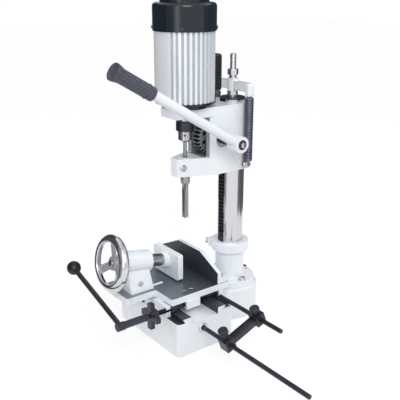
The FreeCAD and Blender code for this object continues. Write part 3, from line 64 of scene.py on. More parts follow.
# The camera stands two metres off the spindle at the operator's right, a little above the
# chuck, with a long lens, as in the photograph.
view_point = Vector((1.39733, -1.02631, 0.97539))
view_right = Vector((0.61013, 0.79229, 0.00346))
view_up = Vector((-0.25734, 0.19404, 0.94664))
camera_data = bpy.data.cameras.new("camera")
camera_data.lens = 58.688
camera_data.sensor_width = 36.0
camera = bpy.data.objects.new("camera", camera_data)
view_axes = Matrix((view_right, view_up, view_right.cross(view_up))).transposed()
camera.matrix_world = Matrix.Translation(view_point) @ view_axes.to_4x4()
bpy.context.scene.collection.objects.link(camera)
bpy.context.scene.camera = camera
bpy.context.scene.view_settings.view_transform = "Standard"


# The studio: a white sweep of paper under soft lamps. The world is white to the camera and
# in mirrors, and weaker as a lamp, so that white paint keeps its shades.
class Pin:
    """An output in a finish's node tree. Arithmetic on pins adds Math nodes."""

    def __init__(self, finish, socket):
        self.finish = finish
        self.socket = socket

    def maths(self, operation, *values):
        return self.finish.node("ShaderNodeMath", {"operation": operation}, dict(enumerate(values)))

    def __add__(self, other):
        return self.maths("ADD", self, other)

    def __radd__(self, other):
        return self.maths("ADD", other, self)

    def __mul__(self, other):
        return self.maths("MULTIPLY", self, other)

    def __rmul__(self, other):
        return self.maths("MULTIPLY", other, self)

    def highest(self, other):
        return self.maths("MAXIMUM", self, other)

    def sine(self):
        return self.maths("SINE", self)


class Finish:
    """A node tree with short ways to add nodes, for a material or for the world."""

    def __init__(self, name, tree=None):
        if tree is None:
            self.material = bpy.data.materials.new(name)
            self.material.use_nodes = True
            tree = self.material.node_tree
        self.tree = tree

    def node(self, kind, settings, values, output=0):
        made = self.tree.nodes.new(kind)
        for key, value in settings.items():
            setattr(made, key, value)
        for key, value in values.items():
            self.feed(made.inputs[key], value)
        return Pin(self, made.outputs[output])

    def feed(self, socket, value):
        if isinstance(value, Pin):
            self.tree.links.new(value.socket, socket)
        else:
            socket.default_value = value

    def surface(self, **values):
        shader = self.tree.nodes["Principled BSDF"]
        for key, value in values.items():
            self.feed(shader.inputs[key.replace("_", " ")], value)

    def place(self):
        return self.node("ShaderNodeTexCoord", {}, {}, "Object")

    def noise(self, scale, detail=3.0, stretch=(1.0, 1.0, 1.0)):
        factors = {0: self.place(), 1: stretch}
        spot = self.node("ShaderNodeVectorMath", {"operation": "MULTIPLY"}, factors)
        return self.node("ShaderNodeTexNoise", {}, {"Vector": spot, "Scale": scale, "Detail": detail})

    def between(self, factor, first, second):
        mix = {0: factor, 6: (*first, 1.0), 7: (*second, 1.0)}
        return self.node("ShaderNodeMix", {"data_type": "RGBA"}, mix, 2)

    def bump(self, height, strength, distance):
        values = {"Strength": strength, "Distance": distance, "Height": height}
        return self.node("ShaderNodeBump", {}, values)


world = bpy.data.worlds.new("studio")
bpy.context.scene.world = world
world.use_nodes = True
studio = Finish("studio", world.node_tree)
seen = studio.node("ShaderNodeLightPath", {}, {}, "Is Camera Ray")
mirrored = studio.node("ShaderNodeLightPath", {}, {}, "Is Glossy Ray")
through = studio.node("ShaderNodeLightPath", {}, {}, "Is Transmission Ray")
backdrop = world.node_tree.nodes["Background"]
studio.feed(backdrop.inputs["Color"], (1.0, 1.0, 1.0, 1.0))
studio.feed(backdrop.inputs["Strength"], seen.highest(through).highest(mirrored * 0.9).highest(0.78))

bpy.ops.object.select_all(action="DESELECT")
bpy.ops.mesh.primitive_plane_add(size=24.0, location=(0.0, 0.0, -0.0005))
floor = bpy.context.object
floor.name = "floor"
paper = Finish("white_paper")
fibre = paper.noise(40.0, 4.0)
shown = paper.node("ShaderNodeLightPath", {}, {}, "Is Camera Ray").highest(
    paper.node("ShaderNodeLightPath", {}, {}, "Is Glossy Ray"))
paper.surface(
    Base_Color=(0.30, 0.30, 0.30, 1.0),
    Roughness=0.85 + fibre * 0.1,
    Emission_Color=paper.between(shown, (0.46, 0.46, 0.46), (1.0, 1.0, 1.0)),
    Emission_Strength=0.70,
)
floor.data.materials.append(paper.material)

lamps = (
    ("key_lamp", (2.5, -1.3, 2.4), 46.0, 1.6),
    ("fill_lamp", (-1.6, -2.6, 1.8), 18.0, 2.0),
    ("rim_lamp", (1.2, 2.2, 2.0), 14.0, 1.4),
)
for lamp_name, lamp_place, lamp_power, lamp_size in lamps:
    lamp_data = bpy.data.lights.new(lamp_name, "AREA")
    lamp_data.energy = lamp_power
    lamp_data.size = lamp_size
    lamp = bpy.data.objects.new(lamp_name, lamp_data)
    aim = Vector((0.0, 0.0, 0.45)) - Vector(lamp_place)
    turn = aim.to_track_quat("-Z", "Y").to_matrix().to_4x4()
    lamp.matrix_world = Matrix.Translation(lamp_place) @ turn
    bpy.context.scene.collection.objects.link(lamp)

# Grey cards standing on the floor around the machine glow faintly, and one white card glows bright. The
# camera doesn't see them, and they light nothing and cast no shadow, so they show only as painted
# reflections: the dark bands in chrome and gloss black, and a painted highlight on the motor's cover.
# Each has its bearing, distance, width, foot and glow.
cards = (
    ("card_right", 38.0, 0.95, 0.34, 0.0, 0.26),
    ("card_right_rear", 72.0, 0.95, 0.90, 0.0, 0.12),
    ("card_rear", 125.0, 0.95, 1.00, 0.0, 0.05),
    ("card_front", -87.0, 0.95, 0.34, 0.0, 0.34),
    ("card_front_left", -122.0, 0.90, 0.80, 0.0, 0.07),
    ("card_left", 196.0, 1.00, 1.00, 0.0, 0.05),
    ("card_white", -62.0, 1.00, 0.24, 0.34, 2.30),
)
card_height = 1.5
card_centre = Vector((0.0, 0.08, 0.0))
for card_name, card_bearing, card_distance, card_width, card_foot, card_glow in cards:
    way = Vector((math.cos(math.radians(card_bearing)), math.sin(math.radians(card_bearing)), 0.0))
    bpy.ops.mesh.primitive_plane_add(size=1.0)
    card = bpy.context.object
    card.name = card_name
    spread = Matrix.Diagonal((card_width, card_height, 1.0, 1.0))
    spot = card_centre + way * card_distance + Vector((0.0, 0.0, card_foot + card_height / 2.0))
    turn = way.to_track_quat("-Z", "Y").to_matrix().to_4x4()
    card.data.transform(Matrix.Translation(spot) @ turn @ spread)
    # The card glows at its level and shows only in reflections: a painted reflection.
    reflection_glow = Finish(card_name + "_felt")
    nap = reflection_glow.noise(80.0, 2.0)
    reflection_glow.surface(
        Base_Color=(0.01, 0.01, 0.012, 1.0),
        Roughness=0.9 + nap * 0.05,
        Emission_Color=(0.97, 0.97, 1.0, 1.0),
        Emission_Strength=card_glow,
    )
    card.data.materials.append(reflection_glow.material)
    card.visible_camera = False
    card.visible_diffuse = False
    card.visible_shadow = False

# The base: one grey iron casting, hollow underneath, in thick gloss white enamel that
# rounds its edges. Its two ways and the ledges beside them are planed, ground and oiled.
base_edge = 0.0018
ledge_height = 0.0985
way_rear = 0.040
enamel = Finish("white_enamel_paint")
ripple = enamel.noise(210.0, 2.0)
cloud = enamel.noise(7.0, 4.0)
enamel.surface(
    Base_Color=enamel.between(cloud, (0.77, 0.812, 0.86), (0.835, 0.87, 0.905)),
    Roughness=0.20 + cloud * 0.14,
    Coat_Weight=0.30,
    Coat_Roughness=0.10,
    Normal=enamel.bump(ripple, 0.06, 0.0004),
)
ground = Finish("ground_iron_surface")
grinding = ground.noise(70.0, 6.0, (0.5, 16.0, 16.0))
stain = ground.noise(11.0, 4.0)
ground.surface(
    Base_Color=ground.between(stain, (0.026, 0.032, 0.044), (0.062, 0.072, 0.090)),
    Metallic=0.35,
    Roughness=0.30 + grinding * 0.16,
    Normal=ground.bump(grinding, 0.12, 0.0002),
)


def softened(node, finish, edge, steps=2, sharp=38.0):
    """A copy of a node's solid with its sharp edges rounded, which stands for the node."""
    bpy.ops.object.select_all(action="DESELECT")
    source = frame["nodes"][node]
    piece = bpy.data.objects.new(node + "_finished", source.data.copy())
    bpy.context.scene.collection.objects.link(piece)
    piece.select_set(True)
    bpy.context.view_layer.objects.active = piece
    piece.data.materials.clear()
    piece.data.materials.append(finish.material)
    bpy.ops.mesh.customdata_custom_splitnormals_clear()
    bpy.ops.object.mode_set(mode="EDIT")
    bpy.ops.mesh.select_all(action="SELECT")
    bpy.ops.mesh.remove_doubles(threshold=0.000004)
    bpy.ops.mesh.dissolve_limited(angle_limit=math.radians(0.4))
    bpy.ops.object.mode_set(mode="OBJECT")
    bpy.ops.object.shade_smooth_by_angle(angle=math.radians(32.0))
    rounding = piece.modifiers.new("rounding", "BEVEL")
    rounding.width = edge
    rounding.segments = steps
    rounding.limit_method = "ANGLE"
    rounding.angle_limit = math.radians(sharp)
    rounding.harden_normals = True
    bpy.ops.object.modifier_apply(modifier="rounding")
    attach(piece, source["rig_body"])
    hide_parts(node)
    return piece


def ground_where(piece, wanted):
    """Gives the ground iron finish to the faces for which wanted(centre, normal) is true."""
    piece.data.materials.append(ground.material)
    for face in piece.data.polygons:
        if wanted(face.center, face.normal):
            face.material_index = 1


def on_the_ways(centre, normal):
    level = normal.z > 0.9 and centre.z > ledge_height
    flank = centre.z > ledge_height + 0.002 and abs(normal.x) < 0.5
    return centre.y < way_rear and (level or flank)


ground_where(softened("base_casting", enamel, base_edge), on_the_ways)

# The flange: a cast foot with a tube, faced in the lathe and enamelled. Four zinc plated
# hexagon screws with washers hold it down on the base's round seat.
flange_edge = 0.0012
bolt_edge = 0.0006
plated = Finish("zinc_plated_steel")
tumbling = plated.noise(320.0, 3.0)
plated.surface(
    Base_Color=plated.between(tumbling, (0.52, 0.53, 0.55), (0.80, 0.80, 0.82)),
    Metallic=1.0,
    Roughness=0.24 + tumbling * 0.16,
    Normal=plated.bump(tumbling, 0.10, 0.0002),
)
softened("column_flange", enamel, flange_edge)
softened("flange_bolts", plated, bolt_edge)

# The clamp collar: a split cast ring with an ear, drawn tight on the column by one screw.
# It is enamelled with the flange that it rests on.
collar_edge = 0.0010
softened("column_collar", enamel, collar_edge)

# The column: a thick steel tube, ground and chromed to a mirror, with faint draw marks
# along its length. It is pressed into the flange.
chrome = Finish("chrome_plate")
draw = chrome.noise(55.0, 3.0, (9.0, 9.0, 0.35))
chrome.surface(
    Base_Color=(0.63, 0.63, 0.65, 1.0),
    Metallic=1.0,
    Roughness=0.06 + draw * 0.10,
    Normal=chrome.bump(draw, 0.04, 0.0002),
)
column = frame["nodes"]["column_tube"]
column.data.materials.clear()
column.data.materials.append(chrome.material)

# The rack is milled steel, blackened, and let into a slot down the column's front. A thin
# black disc closes the column's top.
rack_edge = 0.0003
cap_edge = 0.0008
blackened = Finish("blackened_steel_oxide")
oxide = blackened.noise(30.0, 5.0)
blackened.surface(
    Base_Color=blackened.between(oxide, (0.018, 0.018, 0.027), (0.078, 0.076, 0.102)),
    Metallic=0.65,
    Roughness=0.24 + oxide * 0.22,
    Normal=blackened.bump(oxide, 0.10, 0.0003),
)
softened("column_rack", blackened, rack_edge, 1)
softened("column_cap", blackened, cap_edge)
softened("collar_screw", plated, bolt_edge)

# The spring stud: a zinc plated rod with a rolled thread, which stands in the column's top.
# Two nuts with washers hold the crossbar on it, a casting with a nub at each end.
thread_pitch = 0.0020
nut_edge = 0.0011
crossbar_edge = 0.0025


def threaded(name, shades, axis, tilt=0.0):
    """Bright steel with a screw thread along one axis, tilted about X."""
    finish = Finish(name)
    wear = finish.noise(260.0, 3.0)
    leaning = {"Vector": finish.place(), "Rotation": (tilt, 0.0, 0.0)}
    turned = finish.node("ShaderNodeMapping", {}, leaning)
    along = finish.node("ShaderNodeSeparateXYZ", {}, {"Vector": turned}, axis)
    flank = (along * (2.0 * math.pi / thread_pitch)).sine()
    # The colour is striped with the thread, lighter on its crests and darker in its roots: painted
    # shade, mixed with random wear.
    finish.surface(
        Base_Color=finish.between(flank * 0.4 + wear * 0.6, *shades),
        Metallic=1.0,
        Roughness=0.24 + wear * 0.14,
        Normal=finish.bump(flank, 0.55, 0.0003),
    )
    return finish


zinc_shades = ((0.46, 0.48, 0.52), (0.84, 0.86, 0.90))
stud_thread = threaded("rolled_thread_steel", zinc_shades, "Z")
softened("spring_stud", stud_thread, bolt_edge)
softened("stud_nuts", plated, nut_edge)
softened("spring_crossbar", enamel, crossbar_edge, 3)

# The saddle: an enamelled casting that slides along the ways on the base. A steel gib takes
# up its play, set by four screws. Its stop rod and lobed feed bearing are blackened steel.
saddle_edge = 0.0012
gib_edge = 0.0004
rod_edge = 0.0005
softened("saddle_casting", enamel, saddle_edge)
softened("saddle_gib", plated, gib_edge)
softened("gib_screws", blackened, rod_edge)
softened("saddle_stop_rod", blackened, rod_edge)
softened("feed_bearing", blackened, rod_edge)

# The short rack below the table and its pinion: milled steel, oiled black. The pinion's
# shaft runs through the hollow feed screw to the operator's side.
softened("table_rack", blackened, rack_edge, 1)
softened("feed_pinion", blackened, rack_edge, 1)
softened("feed_lever_shaft", blackened, rod_edge)

# The cross lever: a thick sleeve pinned on the shaft, a rod welded into its elbow, both
# blackened, and a moulded ball knob screwed on the rod's end.
lever_edge = 0.0010
moulded = Finish("black_moulded_plastic")
spark = moulded.noise(600.0, 2.0)
shine = moulded.noise(18.0, 3.0)
moulded.surface(
    Base_Color=moulded.between(shine, (0.010, 0.010, 0.013), (0.022, 0.022, 0.027)),
    Roughness=0.26 + shine * 0.12,
    Specular_IOR_Level=0.35,
    Normal=moulded.bump(spark, 0.06, 0.0002),
)
softened("feed_lever_arm", blackened, lever_edge)
softened("feed_lever_ball", moulded, 0.0004)

# The star knob: a cast cross with rounded arms and a hub, blackened and keyed on the
# hollow feed screw, whose thread shows between the knob and the saddle's rail.
star_edge = 0.0016
black_shades = ((0.010, 0.010, 0.013), (0.050, 0.050, 0.062))
feed_thread = threaded("feed_screw_thread", black_shades, "Y")
softened("star_knob", blackened, star_edge, 3)
softened("cross_feed_screw", feed_thread, rod_edge)

# The table: an enamelled casting whose top is planed and ground dark. The feed nut's block
# hangs below its right side on two sunk socket screws.
table_edge = 0.0010
table_level = 0.1495
sheened_top = Finish("table_top_painted_sheen")
lapping = sheened_top.noise(60.0, 6.0, (14.0, 0.6, 1.0))
soil = sheened_top.noise(9.0, 4.0)
# The ground top's colour is painted lighter towards the front edge as a painted reflection, mixed with
# random soiling.
front_sheen = sheened_top.node("ShaderNodeSeparateXYZ", {}, {"Vector": sheened_top.place()}, "Y") * -4.2
sheen_and_soil = (front_sheen + soil * 0.30 + 0.15).highest(0.0)
sheened_top.surface(
    Base_Color=sheened_top.between(sheen_and_soil, (0.034, 0.043, 0.058), (0.230, 0.265, 0.310)),
    Metallic=0.40,
    Roughness=0.24 + lapping * 0.14,
    Normal=sheened_top.bump(lapping, 0.08, 0.0002),
)
table = softened("table_casting", enamel, table_edge)
table.data.materials.append(sheened_top.material)
for face in table.data.polygons:
    if face.normal.z > 0.9 and face.center.z > table_level:
        face.material_index = 1
softened("feed_nut_block", enamel, 0.0012)
softened("nut_block_screws", blackened, 0.0003)

# The fence: a cast plate with a sloping top on each side, ground on the face towards the
# work and enamelled behind, held down by two hexagon screws.
fence_edge = 0.0009
fence_face = 0.0415
ground_where(softened("fence", enamel, fence_edge),
             lambda centre, normal: normal.y < -0.9 and centre.y < fence_face)
softened("fence_bolts", plated, bolt_edge)

# The vise's body: a wedge foot with a round barrel cast on top, enamelled, bolted through
# the table's extension. Two socket screws lock the ram and a plated pin stops the jaw.
vise_edge = 0.0014
softened("vise_body", enamel, vise_edge, 3)
softened("vise_lock_bolts", plated, bolt_edge)
softened("jaw_stop_pin", enamel, bolt_edge)

# The vise's ram: bright turned steel, polished by use, with the enamelled cast jaw pressed
# on its end.
jaw_edge = 0.0012
turned_steel = Finish("bright_turned_steel")
lathe = turned_steel.noise(90.0, 3.0, (1.0, 14.0, 1.0))
turned_steel.surface(
    Base_Color=turned_steel.between(lathe, (0.36, 0.36, 0.38), (0.58, 0.58, 0.60)),
    Metallic=1.0,
    Roughness=0.16 + lathe * 0.16,
    Normal=turned_steel.bump(lathe, 0.08, 0.0002),
)
softened("vise_ram", turned_steel, 0.0008)
softened("vise_jaw", enamel, jaw_edge)

# The handwheel: cast iron, dished, polished and chromed all over. Its rim is a deep oval
# that leans outward to the rear, on three broad flat spokes, and a domed nut holds its hub
# on the vise screw's journal.
vise_tilt = math.radians(11.0)
wheel_centre = Vector((-0.0400, -0.2208, 0.2364))
wheel_radius = 0.080
rim_long = 0.0135
rim_short = 0.0085
rim_lean = math.radians(50.0)
rim_forward = -0.0032
hub_radius = 0.0200
hub_front = 0.0003
hub_rear = 0.0223
spoke_turn = math.radians(95.0)
spoke_half_width = 0.0125
spoke_half_depth = 0.0036
spoke_inner = (0.006, 0.0085)
spoke_outer = (0.064, -0.0020)
wheel_chrome = Finish("handwheel_chrome")
polish = wheel_chrome.noise(38.0, 4.0)
wheel_chrome.surface(
    Base_Color=wheel_chrome.between(polish, (0.56, 0.57, 0.61), (0.70, 0.70, 0.72)),
    Metallic=1.0,
    Roughness=0.07 + polish * 0.12,
    Normal=wheel_chrome.bump(polish, 0.10, 0.0006),
)
cast_face = Finish("handwheel_brushed_face")
brush = cast_face.noise(120.0, 4.0)
cast_face.surface(
    Base_Color=cast_face.between(brush, (0.34, 0.34, 0.37), (0.50, 0.50, 0.53)),
    Metallic=0.55,
    Roughness=0.42 + brush * 0.16,
    Normal=cast_face.bump(brush, 0.14, 0.0003),
)
bpy.ops.object.select_all(action="DESELECT")
rim_reach = math.hypot(rim_long * math.cos(rim_lean), rim_short * math.sin(rim_lean))
bpy.ops.mesh.primitive_circle_add(vertices=24, radius=1.0)
rim = bpy.context.object
rim.location = (wheel_radius - rim_reach, rim_forward, 0.0)
rim.rotation_euler = (0.0, 0.0, rim_lean)
rim.scale = (rim_long, rim_short, 1.0)
bpy.ops.object.transform_apply()
turning = rim.modifiers.new("turning", "SCREW")
turning.axis = "Y"
turning.steps = 96
turning.render_steps = 96
turning.use_merge_vertices = True
turning.merge_threshold = 0.00001
bpy.ops.object.modifier_apply(modifier="turning")
rim.data.materials.append(wheel_chrome.material)
wheel_parts = [rim]
bpy.ops.mesh.primitive_cylinder_add(vertices=64, radius=hub_radius, depth=hub_rear - hub_front)
hub = bpy.context.object
hub.location = (0.0, (hub_front + hub_rear) / 2.0, 0.0)
hub.rotation_euler = (math.radians(90.0), 0.0, 0.0)
bpy.ops.object.transform_apply()
easing = hub.modifiers.new("easing", "BEVEL")
easing.width = 0.0024
easing.segments = 3
bpy.ops.object.modifier_apply(modifier="easing")
hub.data.materials.append(cast_face.material)
wheel_parts.append(hub)
for k in range(3):
    turn = spoke_turn + 2.0 * math.pi * k / 3.0
    outward = Vector((math.cos(turn), 0.0, math.sin(turn)))
    inner = outward * spoke_inner[0] + Vector((0.0, spoke_inner[1], 0.0))
    outer = outward * spoke_outer[0] + Vector((0.0, spoke_outer[1], 0.0))
    length = (outer - inner).length
    bpy.ops.mesh.primitive_cone_add(vertices=32, radius1=0.86, radius2=1.0, depth=length)
    spoke = bpy.context.object
    along = (outer - inner).normalized()
    across = Vector((-math.sin(turn), 0.0, math.cos(turn)))
    axes = Matrix((across, along.cross(across), along)).transposed().to_4x4()
    flat = Matrix.Diagonal((spoke_half_width, spoke_half_depth, 1.0, 1.0))
    spoke.data.transform(Matrix.Translation((inner + outer) / 2.0) @ axes @ flat)
    spoke.data.materials.append(cast_face.material)
    wheel_parts.append(spoke)
bpy.ops.object.select_all(action="DESELECT")
for part in wheel_parts:
    part.select_set(True)
bpy.context.view_layer.objects.active = rim
bpy.ops.object.join()
wheel = bpy.context.object
wheel.name = "handwheel_finished"
wheel.data.transform(Matrix.Translation(wheel_centre) @ Matrix.Rotation(-vise_tilt, 4, "X"))
bpy.ops.object.mode_set(mode="EDIT")
bpy.ops.mesh.select_all(action="SELECT")
bpy.ops.mesh.normals_make_consistent(inside=False)
bpy.ops.object.mode_set(mode="OBJECT")
bpy.ops.object.shade_smooth_by_angle(angle=math.radians(40.0))
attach(wheel, "vise_wheel")
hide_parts("handwheel")
softened("handwheel_nut", turned_steel, bolt_edge)
vise_thread = threaded("vise_screw_thread", zinc_shades, "Y", vise_tilt)
softened("vise_screw", vise_thread, bolt_edge)

# The stop: a long rod screwed into the base's side and a channelled bar that slides on both
# rods, blackened steel, with two knurled thumb screws.
stop_edge = 0.0012
knurl_edge = 0.0004
softened("base_stop_rod", blackened, rod_edge)
bpy.ops.object.select_all(action="DESELECT")
bpy.ops.mesh.primitive_torus_add(
    major_segments=48, minor_segments=12, major_radius=0.0102, minor_radius=0.0034,
    location=(0.1545, -0.0540, 0.0700), rotation=(0.0, math.radians(90.0), 0.0))
boss = bpy.context.object
boss.name = "base_rod_ring"
boss.data.materials.append(plated.material)
bpy.ops.object.transform_apply()
bpy.ops.object.shade_smooth_by_angle(angle=math.radians(40.0))
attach(boss, "base")
softened("stop_bar", blackened, stop_edge)
softened("thumb_screw_near", blackened, knurl_edge, 1)
softened("thumb_screw_far", blackened, knurl_edge, 1)

# The head: an enamelled casting that slides on the column, with the motor's platform on top, the gear's
# room in its cheeks, whose walls are coloured a darker, rough grey as painted shade, and the split arm
# that clamps the chisel.
head_edge = 0.0022
room_half_width = 0.0360
room_front = 0.0300
room_rear = 0.1300
room_floor = 0.4980
room_roof = 0.6200
room_shade = Finish("gear_room_painted_shade")
sand = room_shade.noise(240.0, 5.0)
room_shade.surface(
    Base_Color=room_shade.between(sand, (0.26, 0.29, 0.31), (0.38, 0.41, 0.43)),
    Metallic=0.10,
    Roughness=0.55 + sand * 0.20,
    Normal=room_shade.bump(sand, 0.25, 0.0004),
)
head = softened("head_casting", enamel, head_edge, 3)
head.data.materials.append(room_shade.material)
# Faces inside the gear's room take the darker grey: painted shade.
for face in head.data.polygons:
    level = room_floor < face.center.z < room_roof
    if level and abs(face.center.x) < room_half_width and room_front < face.center.y < room_rear:
        face.material_index = 1
softened("chisel_clamp_bolt", plated, bolt_edge)
lug_centre = Vector((0.0, 0.1667, 0.4760))
lug_steps = (
    (48, 0.0060, 0.0560, 0.0640, blackened),
    (48, 0.0112, 0.0636, 0.0652, plated),
    (6, 0.0100, 0.0652, 0.0724, plated),
)
lug_easing = 0.0006
lug_parts = []
for side in (-1.0, 1.0):
    for corners, radius, start, end, finish in lug_steps:
        bpy.ops.mesh.primitive_cylinder_add(vertices=corners, radius=radius, depth=end - start)
        step = bpy.context.object
        lie = Matrix.Rotation(math.radians(90.0), 4, "Y")
        spot = lug_centre + Vector((side * (start + end) / 2.0, 0.0, 0.0))
        step.data.transform(Matrix.Translation(spot) @ lie)
        easing = step.modifiers.new("easing", "BEVEL")
        easing.width = lug_easing
        easing.segments = 2
        bpy.ops.object.modifier_apply(modifier="easing")
        step.data.materials.append(finish.material)
        lug_parts.append(step)
bpy.ops.object.select_all(action="DESELECT")
for part in lug_parts:
    part.select_set(True)
bpy.context.view_layer.objects.active = lug_parts[0]
bpy.ops.object.join()
lug_bolts = bpy.context.object
lug_bolts.name = "spring_lug_bolts_finished"
bpy.ops.object.shade_smooth_by_angle(angle=math.radians(32.0))
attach(lug_bolts, "head")
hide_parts("spring_lug_bolts")

# The hollow chisel: a square tube with four sharpened corners and a slot for the chips, cut
# from tool steel and ground bright. The auger bit turns inside it.
chisel_edge = 0.0003
tool_steel = Finish("ground_tool_steel")
scratch = tool_steel.noise(60.0, 5.0, (14.0, 14.0, 0.8))
tool_steel.surface(
    Base_Color=tool_steel.between(scratch, (0.24, 0.24, 0.25), (0.46, 0.46, 0.47)),
    Metallic=1.0,
    Roughness=0.20 + scratch * 0.18,
    Normal=tool_steel.bump(scratch, 0.12, 0.0002),
)
softened("hollow_chisel", tool_steel, chisel_edge)
softened("auger_bit", tool_steel, chisel_edge)

# The chuck: a keyed drill chuck with a bright body and a blackened, toothed sleeve, on the
# end of the motor's own shaft.
chuck_edge = 0.0007
softened("chuck_body", turned_steel, chuck_edge)
softened("chuck_sleeve", blackened, chuck_edge)
softened("motor_shaft", turned_steel, bolt_edge)
chuck_radius = 0.0185
key_height = 0.5740
key_radius = 0.0034
key_rim = 0.0008
for k in range(3):
    bearing = math.radians(-37.0 + 120.0 * k)
    spot = Vector((chuck_radius * math.cos(bearing), chuck_radius * math.sin(bearing), key_height))
    lie = (math.radians(90.0), 0.0, bearing + math.radians(90.0))
    bpy.ops.object.select_all(action="DESELECT")
    bpy.ops.mesh.primitive_torus_add(
        major_segments=32, minor_segments=10, major_radius=key_radius, minor_radius=key_rim,
        location=spot, rotation=lie)
    key_hole = bpy.context.object
    key_hole.name = "chuck_key_hole_%d" % k
    key_hole.data.materials.append(turned_steel.material)
    # A blackened disc inside each rim stands for the hole: a dark disc in place of the shade in the
    # hole.
    bpy.ops.mesh.primitive_cylinder_add(
        vertices=32, radius=key_radius, depth=key_rim, location=spot, rotation=lie)
    key_hole_shade = bpy.context.object
    key_hole_shade.data.materials.append(blackened.material)
    key_hole.select_set(True)
    bpy.context.view_layer.objects.active = key_hole
    bpy.ops.object.join()
    bpy.ops.object.transform_apply()
    bpy.ops.object.shade_smooth_by_angle(angle=math.radians(40.0))
    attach(key_hole, "spindle")

# The motor's frame: an extruded light alloy body with cooling fins and a flat pad, painted silver grey.
# The grooves between its fins are coloured a darker grey as painted shade.
fin_edge = 0.0007
silver = Finish("motor_silver_paint")
grain = silver.noise(420.0, 2.0)
haze = silver.noise(6.0, 3.0)
silver.surface(
    Base_Color=silver.between(haze, (0.76, 0.79, 0.83), (0.84, 0.87, 0.90)),
    Metallic=0.35,
    Roughness=0.28 + haze * 0.12,
    Normal=silver.bump(grain, 0.05, 0.0002),
)
groove_shade = Finish("motor_painted_groove_shade")
groove_mottle = groove_shade.noise(90.0, 4.0)
groove_shade.surface(
    Base_Color=groove_shade.between(groove_mottle, (0.40, 0.43, 0.47), (0.52, 0.55, 0.59)),
    Metallic=0.20,
    Roughness=0.42 + groove_mottle * 0.16,
    Normal=groove_shade.bump(groove_mottle, 0.08, 0.0002),
)
groove_radius = 0.0765
motor = softened("motor_frame", silver, fin_edge)
motor.data.materials.append(groove_shade.material)
# The floors of the grooves between the fins take the darker grey: painted shade.
for face in motor.data.polygons:
    if abs(face.normal.z) < 0.5 and math.hypot(face.center.x, face.center.y) < groove_radius:
        face.material_index = 1

# The motor's end bell and fan cover: pressed and cast black parts in gloss paint, held by
# four small screws.
cover_edge = 0.0012
gloss = Finish("motor_gloss_black")
flow = gloss.noise(140.0, 2.0)
tone = gloss.noise(9.0, 3.0)
gloss.surface(
    Base_Color=gloss.between(tone, (0.004, 0.008, 0.013), (0.009, 0.016, 0.024)),
    Roughness=0.12 + tone * 0.10,
    Normal=gloss.bump(flow, 0.06, 0.0003),
)
softened("motor_end_bell", gloss, 0.0008)
softened("motor_fan_cover", gloss, cover_edge)
softened("motor_screws", blackened, 0.0005)

# The switch box: a moulded black housing on a short conduit behind the motor.
softened("switch_box", moulded, 0.0014, 3)

# The return springs: oiled spring wire, close wound, one on each side of the head. Below,
# the wire stands on the stud on the head's flank, and above it runs up behind the
# crossbar's nub and into the bar.
spring_x = 0.071
column_y = 0.1667
wire_radius = 0.0020
coil_radius = 0.0108
coil_turns = 40
coil_points = 16
coil_low = 0.4880
coil_high = 0.6650
wire_foot = 0.4824
wire_head = 0.6806
spring_wire = Finish("oiled_spring_wire")
oil = spring_wire.noise(45.0, 4.0)
spring_wire.surface(
    Base_Color=spring_wire.between(oil, (0.080, 0.077, 0.112), (0.260, 0.252, 0.340)),
    Metallic=0.90,
    Roughness=0.18 + oil * 0.14,
    Normal=spring_wire.bump(oil, 0.08, 0.0002),
)
for side_name, side in (("return_spring_left", -1.0), ("return_spring_right", 1.0)):
    inboard = side * (spring_x - coil_radius)
    low_bend = coil_low - 2.0 * wire_radius
    high_bend = coil_high + 2.0 * wire_radius
    path = [(inboard, column_y + wire_radius, wire_foot), (inboard, column_y + wire_radius, low_bend)]
    widened = coil_radius * 3.0 / (2.0 + math.cos(2.0 * math.pi / coil_points))
    for step in range(coil_turns * coil_points + 1):
        angle = 2.0 * math.pi * step / coil_points
        height = coil_low + (coil_high - coil_low) * step / (coil_turns * coil_points)
        across = side * (spring_x - widened * math.cos(angle))
        path.append((across, column_y - widened * math.sin(angle), height))
    path += [(inboard, column_y - wire_radius, high_bend), (inboard, column_y - wire_radius, wire_head)]
    bpy.ops.object.select_all(action="DESELECT")
    bpy.ops.curve.primitive_nurbs_path_add()
    spring = bpy.context.object
    spring.name = side_name + "_wire"
    spring.data.splines.clear()
    line = spring.data.splines.new("NURBS")
    line.points.add(len(path) - 1)
    for point, place in zip(line.points, path):
        point.co = (*place, 1.0)
    line.order_u = 4
    line.use_endpoint_u = True
    line.resolution_u = 2
    spring.data.bevel_depth = wire_radius
    spring.data.bevel_resolution = 2
    spring.data.use_fill_caps = True
    bpy.ops.object.convert(target="MESH")
    spring.data.materials.clear()
    spring.data.materials.append(spring_wire.material)
    bpy.ops.object.shade_smooth_by_angle(angle=math.radians(50.0))
    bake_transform(spring)
    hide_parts(side_name)

# The feed gear: a hobbed cast iron disc with eight holes, on a steel shaft that turns in
# two bushes. Its teeth run on the column's rack.
gear_edge = 0.0004
cast_gear = Finish("feed_gear_iron")
skin = cast_gear.noise(50.0, 5.0)
cast_gear.surface(
    Base_Color=cast_gear.between(skin, (0.240, 0.242, 0.262), (0.360, 0.362, 0.385)),
    Metallic=0.15,
    Roughness=0.34 + skin * 0.20,
    Normal=cast_gear.bump(skin, 0.12, 0.0003),
)
gear_axis = (0.0865, 0.5580)
tooth_land = 0.0516
gear = softened("feed_gear", cast_gear, gear_edge, 1)
gear.data.materials.append(blackened.material)
# Faces turned sideways inside the tooth land, among them the walls of the eight holes, take the
# blackened steel: painted shade in the holes.
for face in gear.data.polygons:
    from_axis = math.hypot(face.center.y - gear_axis[0], face.center.z - gear_axis[1])
    if abs(face.normal.x) < 0.5 and from_axis < tooth_land:
        face.material_index = 1
softened("gear_shaft", blackened, bolt_edge)
softened("gear_shaft_bushes", plated, gib_edge)

